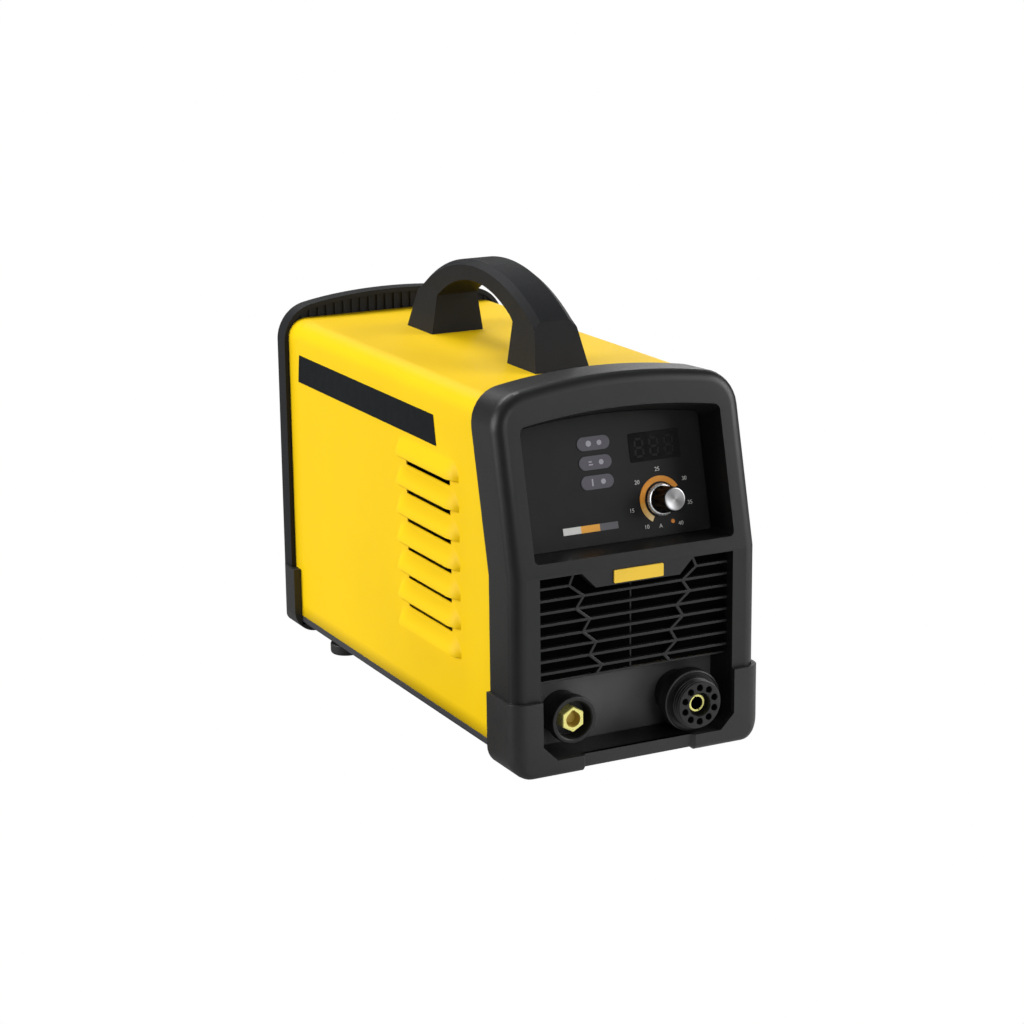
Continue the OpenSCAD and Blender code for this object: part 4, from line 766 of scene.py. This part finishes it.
def bumperRows():
    # outer point, inward direction, rounding, front depth and window point, from left top to right top
    half = body["width"] / 2 + bumper["wall"]
    r, windowHalf = bumper["corner"], bezel["windowHalf"]
    low, c = bezel["railTop"], bezel["chamfer"]
    rows = []
    for z in (bumper["high"], 38, 30, 22, low + c):
        rows.append(((-half, z), (1, 0), bumper["edge"], 0.0, (-windowHalf, z)))
    for i in range(9):
        a = math.radians(90 * i / 8)
        share = i / 8
        point = (r - half - r * math.cos(a), r - r * math.sin(a))
        blend = 0.5 - 0.5 * math.cos(math.pi * share)
        rounding = bumper["edge"] + (bumper["lowEdge"] - bumper["edge"]) * blend
        rows.append((point, (math.cos(a), math.sin(a)), rounding, 0.0,
                     (-windowHalf + c * share, low + c * (1 - share))))
    foot = bumper["foot"]
    for x in (-foot - 8, -foot):
        rows.append(((x, 0), (0, 1), bumper["lowEdge"], 0.0, (x, low)))
    for x in (-foot + bumper["chamfer"], -18):
        rows.append(((x, bumper["stepUp"]), (0, 1), bumper["lowEdge"] * 0.4, bumper["stepBack"], (x, low)))
    mirrored = [((-p[0], p[1]), (-n[0], n[1]), f, back, (-w[0], w[1])) for p, n, f, back, w in reversed(rows)]
    return rows + mirrored


def buildBumper():
    bm = bmesh.new()
    grid = []
    for (x, z), (nx, nz), rounding, back, window in bumperRows():
        front = back - bumper["out"]
        line = [onFront(*window, front), onFront((window[0] + x + nx * rounding) / 2,
                                                 (window[1] + z + nz * rounding) / 2, front)]
        for i in range(7):
            a = math.radians(15 * i)
            inset = rounding * (1 - math.sin(a))
            line.append(onFront(x + nx * inset, z + nz * inset, front + rounding * (1 - math.cos(a))))
        line += [onFront(x, z, 16), onFront(x, z, bumper["deep"])]
        grid.append([bm.verts.new(p * mm) for p in line])
    for a, b in zip(grid, grid[1:]):
        for j in range(len(a) - 1):
            bm.faces.new((a[j], a[j + 1], b[j + 1], b[j]))
    bm.normal_update()
    outward = min(bm.faces, key=lambda face: face.calc_center_median().x)
    if outward.normal.x > 0:
        bmesh.ops.reverse_faces(bm, faces=bm.faces)
    piece = keep("frontBumper", bm, "bumper_rubber", "case", ["front_bumper"], smooth=35)
    shell = piece.modifiers.new("skin", "SOLIDIFY")
    shell.thickness = bumper["thick"] * mm
    shell.offset = -1
    rounded(piece, 0.0006, 2, 50)


buildBumper()
print("front bumper built")


def circle(place, a, b, r, depth, count=64):
    turns = [math.radians(360 * (i + 0.5) / count) for i in range(count)]
    return [place(a + r * math.cos(t), b + r * math.sin(t), depth) for t in turns]


def lathe(bm, place, a, b, profile, count=64):
    # a closed body turned round an axis; the profile lists radius and depth
    loops = [addLoop(bm, circle(place, a, b, r, depth, count)) for r, depth in profile]
    bridge(bm, loops)
    for loop in (loops[0], loops[-1]):
        bmesh.ops.contextual_create(bm, geom=loop)
    return loops


sockets = {
    "x": 37.5,
    "z": 27.8,
    "panel": 23.7,
    "collar": 13.9,
    "collarFront": 5.8,
    "torchOut": 5.0,
    "pinCircle": 10.0,
    "pin": 1.95,
    "pins": 10,
}


def buildEarth():
    x, z, front = -sockets["x"], sockets["z"], sockets["collarFront"]
    r = sockets["collar"]
    bm = bmesh.new()
    profile = [(6.05, 36), (11, 36), (11, 24), (r - 1.2, sockets["panel"] + 0.1), (r - 1.2, front + 7.2),
               (r, front + 6.6), (r, front + 0.7), (r - 0.5, front), (11.7, front), (11, front + 0.7),
               (10.7, front + 9), (6.05, front + 9)]
    loops = [addLoop(bm, circle(onFront, x, z, radius, d)) for radius, d in profile]
    bridge(bm, loops + [loops[0]])
    bmesh.ops.recalc_face_normals(bm, faces=bm.faces)
    rounded(keep("earthSocketBody", bm, "black_plastic", "case", ["earth_socket_body"], smooth=30), 0.0003)

    bm = bmesh.new()
    turns = [math.radians(30 + 60 * i) for i in range(6)]
    flats = [(x + 7.5 * math.cos(t), z + 7.5 * math.sin(t)) for t in turns]
    outline = []
    for i in range(6):
        p, q = Vector(flats[i]), Vector(flats[(i + 1) % 6])
        outline += [tuple(p.lerp(q, k / 8)) for k in range(8)]
    soft = [(x + (u - x) * 0.95, z + (v - z) * 0.95) for u, v in outline]

    def bore(depth, r, key):
        # a round hole with the keyway's point above it
        points = []
        for i in range(48):
            t = math.radians(30 + 360 * i / 48)
            tip = max(0.0, math.cos(t - math.radians(90))) ** 14
            points.append(onFront(x + r * math.cos(t), z + (r + key * tip) * math.sin(t), depth))
        return points

    near, deep = front + 1.4, front + 6.4
    rows = [[onFront(u, v, deep + 6) for u, v in outline], [onFront(u, v, near + 0.5) for u, v in outline],
            [onFront(u, v, near) for u, v in soft], bore(near, 4.5, 1.1), bore(near + 0.4, 4.2, 1.0),
            bore(deep, 3.7, 0.8)]
    rings = [[bm.verts.new(p * mm) for p in row] for row in rows]
    # faces deeper in the bore, and its floor, take the darker brass that paints shade into the hollow
    for j, (inner, outer) in enumerate(zip(rings, rings[1:])):
        for i in range(48):
            face = bm.faces.new((inner[i], inner[i - 1], outer[i - 1], outer[i]))
            face.material_index = int(j > 2)
    bm.faces.new(rings[-1]).material_index = 1
    bm.faces.new(rings[0][::-1])
    lathe(bm, onFront, x, z, [(6, deep + 6), (6, 48.2)], 48)
    bmesh.ops.recalc_face_normals(bm, faces=bm.faces)
    # darker, browner brass inside the bore: painted shade for the hollow
    boreShade = plainMetal("boreShadeBrass", (0.5, 0.36, 0.06), 0.35, metal=0.3)
    keep("earthContact", bm, "brass", "case", ["earth_socket_contact"], [paint["brass"], boreShade], smooth=30)


def buildTorch():
    x, z, out = sockets["x"], sockets["z"], sockets["torchOut"]
    bm = bmesh.new()
    profile = [(12.5, 38), (12.5, 24), (13.2, sockets["panel"] + 0.1), (13.2, 10.7), (17.6, 10.6),
               (18.2, 10.0), (18.2, 3.9), (17.9, 3.2), (17.1, 2.9), (16.6, 3.3), (14.4, 3.5)]
    for i in range(3):
        d = 1.6 - 2.3 * i
        profile += [(13.7, d + 0.5), (13.7, d), (14.2, d - 0.35), (14.2, d - 0.85), (13.7, d - 1.2)]
    profile += [(13.7, 0.6 - out), (13.5, 0.12 - out), (13.0, -out)]
    loops = [addLoop(bm, circle(onFront, x, z, radius, d, 80)) for radius, d in profile]
    bridge(bm, loops)
    wells = []
    for i in range(sockets["pins"]):
        t = math.radians(90 + 360 * i / sockets["pins"])
        px, pz = x + sockets["pinCircle"] * math.cos(t), z + sockets["pinCircle"] * math.sin(t)
        wells.append((px, pz, sockets["pin"], 16, 8 - out))
    wells.append((x, z, 6.9, 48, 6 - out))
    faces = [loops[-1]]
    for px, pz, r, count, deep in wells:
        rim = addLoop(bm, circle(onFront, px, pz, r + 0.25, -out, count))
        faces.append(rim)
        floor = addLoop(bm, circle(onFront, px, pz, r, deep, count))
        bridge(bm, [rim, addLoop(bm, circle(onFront, px, pz, r, 0.3 - out, count)), floor])
        bmesh.ops.contextual_create(bm, geom=floor)
    fillFlat(bm, *faces)
    bmesh.ops.contextual_create(bm, geom=loops[0])
    bmesh.ops.recalc_face_normals(bm, faces=bm.faces)
    keep("torchSocketBody", bm, "black_plastic", "case", ["torch_socket_body"], smooth=30)

    bm = bmesh.new()
    tube = [(3.5, 14), (5.2, 14), (5.2, 4.0 - out), (4.9, 3.6 - out), (3.8, 3.6 - out), (3.5, 4.1 - out)]
    loops = [addLoop(bm, circle(onFront, x, z, r, d, 48)) for r, d in tube]
    bridge(bm, loops + [loops[0]])
    lathe(bm, onFront, x, z, [(5.2, 14), (5.2, 46.2)], 48)
    bmesh.ops.recalc_face_normals(bm, faces=bm.faces)
    keep("torchGasTube", bm, "brass", "case", ["torch_gas_tube"], smooth=30)


buildEarth()
buildTorch()
print("sockets built")

def onFascia(u, s, out=0.0):
    # a point on the leaning control panel, raised by out
    return onSlope(u, s, out - bezel["recessDepth"])


def plate(name, flat, near, far, place, slot, node=None, edge=0.0003, mats=None):
    bm = bmesh.new()
    prism(bm, flat, near, far, place)
    bmesh.ops.recalc_face_normals(bm, faces=bm.faces)
    piece = keep(name, bm, slot, "case", [node] if node else [], mats)
    return rounded(piece, edge, 2)


def buildPanels():
    half, high = bezel["fasciaHalf"], bezel["fasciaHigh"]
    outline = crownPoints(2 * half, high, body["crown"] + 20, 4.0, 0, 4, 16)
    outline += [(half, bezel["fasciaLow"]), (-half, bezel["fasciaLow"])]
    plate("fasciaPanel", outline, -1.9, 0.0, onFascia, "fascia_film", "control_fascia")
    lo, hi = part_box("connection_panel")
    (x0, z0), (x1, z1), c = (lo[0] / mm, lo[2] / mm), (hi[0] / mm, hi[2] / mm), 6.0
    outline = [(x0 + c, z0), (x1 - c, z0), (x1, z0 + c), (x1, z1), (x0, z1), (x0, z0 + c)]
    # the connection panel takes the paler plastic, partly painted light for the shade of the recess
    plate("connectionPanel", outline, bezel["panelDepth"], bezel["panelDepth"] + 2, onFront,
          "black_plastic", "connection_panel", mats=[paint["panel_plastic"]])
    # the dust screen behind the grille is dead black: painted shade for the inside of the case
    low = bezel["grilleLow"] + 0.2
    ring = [(p.x, max(p.z, low)) for p in windowRing(0, -0.2)]
    outline = [ring[0], ring[1], ring[4]] + ring[5:]
    plate("dustScreenShade", outline, *grille["screen"], onFront, "black_plastic", mats=[paint["painted_shade_black"]])


buildPanels()

knob = {
    "u": 32.0,
    "s": 32.2,
    "r": 7.3,
    "high": 16.5,
    "flutes": 10,
    "flute": 1.15,
    "ringIn": 10.4,
    "ringOut": 13.6,
}


def fluted(r, deep, out):
    # a closed row of points round the knob's axis
    points = []
    for i in range(120):
        t = math.radians(3 * i)
        dip = (0.5 + 0.5 * math.cos(knob["flutes"] * t)) ** 2
        reach = r - deep * dip
        points.append(onFascia(knob["u"] + reach * math.cos(t), knob["s"] + reach * math.sin(t), out))
    return points


def buildKnob():
    u, s, high = knob["u"], knob["s"], knob["high"]
    bm = bmesh.new()
    rows = [(6.0, 0, 2.7), (7.9, 0, 2.7), (7.9, 0, 4.2), (7.5, 0.2, 4.7), (knob["r"], knob["flute"], 5.6),
            (knob["r"] - 0.1, knob["flute"], high - 2.0), (knob["r"] - 0.3, 0.5, high - 1.0),
            (knob["r"] - 0.45, 0.1, high - 0.7), (6.75, 0, high - 0.65), (6.7, 0, high - 1.2),
            (5.0, 0, high - 1.2)]
    loops = [addLoop(bm, fluted(*row)) for row in rows]
    bridge(bm, loops)
    for loop in (loops[0], loops[-1]):
        bmesh.ops.contextual_create(bm, geom=loop)
    bmesh.ops.recalc_face_normals(bm, faces=bm.faces)
    keep("knobGrip", bm, "knob_black", "knob", ["knob_body"], smooth=50)

    bm = bmesh.new()
    profile = [(6.2, 0.5), (9.1, 0.5), (9.3, 0.7), (9.3, 1.5), (8.9, 2.2), (8.3, 2.6), (6.2, 2.6)]
    lathe(bm, onFascia, u, s, profile, 72)
    bmesh.ops.recalc_face_normals(bm, faces=bm.faces)
    keep("knobSkirt", bm, "silver_cap", "knob", ["knob_skirt"], smooth=50)

    bm = bmesh.new()
    profile = [(6.5, high - 1.15), (6.5, high - 0.3), (6.25, high - 0.05), (5.9, high), (5.3, high - 0.12)]
    lathe(bm, onFascia, u, s, profile, 72)
    bmesh.ops.recalc_face_normals(bm, faces=bm.faces)
    axis = (0, -math.cos(lean), math.sin(lean))
    # the cap's pale and dark sectors are a painted highlight, fixed to the cap
    paintedSheen = paintedSheenDisc("paintedSheenCap", (0.62, 0.62, 0.63), onFascia(u, s, high) * mm, axis)
    keep("knobCap", bm, "silver_cap", "knob", ["knob_cap"], [paintedSheen], smooth=50)


buildKnob()

inks = {
    "white": glossFilm("inkWhite", (0.62, 0.62, 0.6), 0.5),
    "grey": glossFilm("inkGrey", (0.1, 0.098, 0.11), 0.5),
    "orange": glossFilm("inkOrange", (0.8, 0.37, 0.04), 0.5),
    "pale": glossFilm("inkPale", (0.3, 0.29, 0.33), 0.5),
    "dim": glossFilm("inkDim", (0.015, 0.015, 0.0155), 0.6, 0.1),
}
fade = [(0.85, 0.62, 0.3), (0.84, 0.55, 0.2), (0.83, 0.47, 0.12), (0.81, 0.39, 0.06), (0.8, 0.31, 0.025)]


def ink(name, flats, slot, mats=None, out=0.06):
    # printed shapes a hair above the panel
    bm = bmesh.new()
    for flat in flats:
        prism(bm, flat, 0.0, out, onFascia)
    bmesh.ops.recalc_face_normals(bm, faces=bm.faces)
    return keep(name, bm, slot, "case", mats=mats)


def box(u0, s0, u1, s1):
    return [(u0, s0), (u1, s0), (u1, s1), (u0, s1)]


def disc(u, s, r, count=20):
    turns = [math.radians(360 * i / count) for i in range(count)]
    return [(u + r * math.cos(t), s + r * math.sin(t)) for t in turns]


def sector(r0, r1, a, b, steps):
    turns = [math.radians(a + (b - a) * i / steps) for i in range(steps + 1)]
    outer = [(knob["u"] + r1 * math.cos(t), knob["s"] + r1 * math.sin(t)) for t in turns]
    return outer + [(knob["u"] + r0 * math.cos(t), knob["s"] + r0 * math.sin(t)) for t in turns[::-1]]


def printDial():
    # orange ring that fades to cream where the scale begins
    bm = bmesh.new()
    shades = [glossFilm("ringShade", colour, 0.45) for colour in fade]
    for i in range(len(fade)):
        a, b = 240 - 14 * i, 240 - 14 * (i + 1)
        if i == len(fade) - 1:
            b = 30
        before = len(bm.faces)
        prism(bm, sector(knob["ringIn"], knob["ringOut"], b, a, max(3, (a - b) // 4)), 0.0, 0.24, onFascia)
        bm.faces.ensure_lookup_table()
        for face in bm.faces[before:]:
            face.material_index = i
    bmesh.ops.recalc_face_normals(bm, faces=bm.faces)
    keep("dialRing", bm, "dial_print", "case", ["dial_scale"], shades)
    ink("dialDot", [disc(38.3, 19.1, 1.2)], "dial_print")


def printNumbers():
    marks = [("10", 21.1, 17.8), ("15", 12.7, 28.0), ("20", 18.0, 43.5), ("25", 31.8, 49.6),
             ("30", 48.6, 42.4), ("35", 50.7, 28.4), ("40", 43.3, 17.3), ("A", 30.2, 17.3)]
    bm = bmesh.new()
    for text, u, s in marks:
        curve = bpy.data.curves.new("digits", "FONT")
        curve.body = text
        curve.size = 3.3
        curve.align_x = curve.align_y = "CENTER"
        curve.extrude = 0.03
        lettering = bpy.data.objects.new("digits", curve)
        sheet = lettering.to_mesh()
        verts = [bm.verts.new(onFascia(u + v.co.x, s + v.co.y, 0.04 + v.co.z) * mm) for v in sheet.vertices]
        for face in sheet.polygons:
            bm.faces.new([verts[i] for i in face.vertices])
        lettering.to_mesh_clear()
        bpy.data.objects.remove(lettering)
    keep("dialNumbers", bm, "dial_print", "case", mats=[inks["white"]])


def printSigns():
    lens = 0.4  # how far the indicator lenses stand out
    spots, signs = [], []
    for s in (68.8, 57.9, 46.9):
        spots.append(disc(-3.4, s, 1.5))
    signs += [disc(-10.2, 68.8, 1.7), box(-11.4, 56.6, -8.8, 57.3), box(-11.4, 58.2, -9.4, 58.9),
              box(-10.7, 44.9, -9.8, 48.9)]
    ink("lensSpots", spots, "indicator_lens", [inks["pale"]], lens + 0.06)
    ink("lensSigns", signs, "indicator_lens", [inks["pale"]], lens + 0.06)
    ink("barWhite", [box(-32.0, 19.5, -20.8, 23.5)], "dial_print", [inks["white"]])
    ink("barOrange", [box(-20.8, 19.5, -8.7, 23.5)], "dial_print", [inks["orange"]])
    ink("barGrey", [box(-8.7, 19.5, 3.0, 23.5)], "dial_print", [inks["grey"]])
    digits = []
    for u in (21.6, 31.2, 40.8):
        for z in (0, 1, 2):
            digits.append(box(u - 1.8, 57.2 + 5.0 * z, u + 1.8, 58.5 + 5.0 * z))
        for side in (-1, 1):
            for z in (0, 1):
                digits.append(box(u + side * 2.5 - 0.6, 58.7 + 5.0 * z, u + side * 2.5 + 0.6, 62.0 + 5.0 * z))
    ink("displayDigits", digits, "smoked_window", [inks["dim"]], 0.34)


printDial()
printNumbers()
printSigns()
print("control panel built")

plain = [
    ("display_window", "displayWindow", 0.0003),
    ("display_module", "displayBlock", 0), ("indicator_lenses", "indicatorLenses", 0.0003),
    ("control_board", "controlBoard", 0), ("board_spacers", "boardSpacers", 0.0003),
    ("potentiometer", "potentiometerBody", 0.0003), ("pot_shaft", "controlShaft", 0.0003),
    ("badge_plate", "badgePlate", 0.0003),
    ("earth_socket_nut", "earthSocketNuts", 0.0004), ("torch_pin_sleeves", "torchPinSleeves", 0.0002),
    ("torch_socket_nut", "torchSocketNut", 0.0004), ("torch_hose", "torchHose", 0.0004),
    ("base_plate", "baseTray", 0.0005), ("side_labels", "sideBands", 0),
    ("handle_bracket", "handleBracket", 0.0004),
    ("handle_screws", "handleScrews", 0.0003),
    ("rear_panel", "rearPanel", 0.0004), ("rear_bumper", "rearBumper", 0.0012),
    ("rear_screws", "rearScrews", 0.0002), ("fan_frame", "fanHousing", 0.0005),
    ("fan_rotor", "fanWheel", 0.0004),
    ("fan_guard", "fanGuard", 0.0006), ("fan_screws", "fanScrews", 0.0004),
    ("switch_housing", "switchHousing", 0.0005), ("switch_rocker", "switchRocker", 0.0005),
    ("gland_body", "glandBody", 0.0004), ("gland_nut", "glandNut", 0.0005), ("air_inlet", "airInlet", 0.0003),
    ("air_inlet_nut", "airInletNut", 0.0004), ("inlet_hose", "inletHose", 0.0004),
    ("air_valve", "airValve", 0.0008),
    ("ground_screw", "groundScrew", 0.0003), ("rubber_feet", "rubberFeet", 0.0006),
    ("foot_screws", "footScrews", 0.0003), ("main_board", "mainBoard", 0.0002),
    ("board_standoffs", "boardStandoffs", 0.0003), ("heatsinks", "heatsinks", 0.0003),
    ("power_transistors", "powerTransistors", 0.0003), ("transformer_core", "transformerCore", 0.0006),
    ("transformer_winding", "transformerWinding", 0.0012), ("output_choke", "outputChoke", 0.002),
    ("choke_clamp", "chokeClamp", 0.0004), ("bulk_capacitors", "bulkCapacitors", 0.0012),
    ("rectifier_bridge", "rectifierBridge", 0.0006),
]
for node, name, width in plain:
    dress(node, name, width, joinFlats=node == "rear_bumper")
dress("handle", "carryHandle", 0.0014, 3, True, [paint["rear_plastic"]])
print("dressed pieces:", len(plain) + 1)


rear = {
    "edge": 2.6,
    "web": 3.0,
    "webThin": 1.5,
    "sheet": 0.4,  # dead black sheet behind the vents, painted shade for the dark inside of the case
    "vents": 6.0,
    "fullness": 1.6,  # how much the crown climbs over the front's
    "finPitch": 5.95,
    "finCount": 11,  # on each side of the middle one
    "finThick": 1.3,
    "openHalf": 60.0,
    "openLow": 16.0,
    "openHigh": 199.0,
    "ventLow": 204.0,
}


def rearRing(d, inset, low):
    # like bezelRing, but upright and with a slightly fuller crown
    side, r, steps = body["width"] / 2 - inset, bezel["footCorner"], bezel["footSteps"]
    wide, high = r - inset, r + bezel["foot"] - low
    angles = [math.radians(90 * (1 - i / steps)) for i in range(steps + 1)]
    corner = [(wide - side - wide * math.cos(a), low + high - high * math.sin(a)) for a in angles]
    crown = []
    for x, z in crownPoints(body["width"], body["height"], body["crown"], body["corner"], inset, 14, 36):
        share = min(1.0, max(0.0, (z - 198) / 8)) * (1 - min(1.0, abs(x) / 78) ** 4)
        crown.append((x, z + rear["fullness"] * share))
    return [onFront(x, z, d) for x, z in corner + crown + [(-x, z) for x, z in reversed(corner)]]


def skin(bm, rows):
    # a closed skin through rings that have the same number of points
    rings = [[bm.verts.new(p * mm) for p in row] for row in rows]
    for inner, outer in zip(rings, rings[1:] + rings[:1]):
        for i in range(len(inner)):
            bm.faces.new((inner[i], inner[i - 1], outer[i - 1], outer[i]))
    return [v for ring in rings for v in ring]


def webPlate(bm, near, far, ring, half, bottom, top):
    # a plate inside a ring, with a square opening
    hole = [Vector((max(-half, min(half, p.x)), 0, max(bottom, min(top, p.z)))) for p in ring]
    verts = skin(bm, [[onFront(p.x, p.z, d) for p in flat]
                      for flat, d in ((ring, near), (ring, far), (hole, far), (hole, near))])
    bmesh.ops.remove_doubles(bm, verts=verts, dist=1e-6)


def buildRearFrame():
    lo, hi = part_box("rear_frame")
    front, back = lo[1] / mm - frontY, hi[1] / mm - frontY
    wall, edge, low = bezel["wall"] + 0.2, rear["edge"], bezel["foot"]
    bm = bmesh.new()
    rows = [rearRing(front, 0, low)]
    for i in range(5):
        a = math.radians(22.5 * i)
        inset = edge * (1 - math.cos(a))
        rows.append(rearRing(back - edge + edge * math.sin(a), inset, low + inset))
    skin(bm, rows + [rearRing(d, wall, low + wall) for d in (back, front)])
    ring = rearRing(0, wall, low + wall)
    webPlate(bm, front + rear["webThin"], front + rear["web"], ring, rear["openHalf"],
             rear["openLow"], rear["openHigh"])
    webFront = front + rear["vents"]
    webPlate(bm, webFront, webFront + rear["webThin"], ring, body["width"] / 2 - wall - 0.4,
             low + wall + 0.4, rear["ventLow"])
    bmesh.ops.recalc_face_normals(bm, faces=bm.faces)
    mats = [paint["rear_plastic"]]
    rounded(keep("rearFrame", bm, "black_plastic", "case", ["rear_frame"], mats), 0.0004)

    bm = bmesh.new()
    ring = rearRing(0, wall, low)
    for i in range(-rear["finCount"], rear["finCount"] + 1):
        x = i * rear["finPitch"]
        high = min((p for p in ring if p.z > 150), key=lambda p: abs(p.x - x)).z
        if high > cover["top"] + 1.5:
            prism(bm, box(x - rear["finThick"] / 2, cover["top"] + 0.3, x + rear["finThick"] / 2, high),
                  front + 0.6, webFront + 0.5)
    bmesh.ops.recalc_face_normals(bm, faces=bm.faces)
    keep("rearFins", bm, "black_plastic", "case", mats=mats)

    # a dead black sheet behind the vents: painted shade for the inside of the case
    bm = bmesh.new()
    webPlate(bm, webFront - rear["sheet"], webFront, rearRing(0, wall + 0.1, low + wall),
             body["width"] / 2 - wall - 0.8, low + wall + 0.4, rear["ventLow"])
    bmesh.ops.recalc_face_normals(bm, faces=bm.faces)
    keep("rearVentShadeSheet", bm, "black_plastic", "case", mats=[paint["painted_shade_black"]])


buildRearFrame()
print("rear frame built")
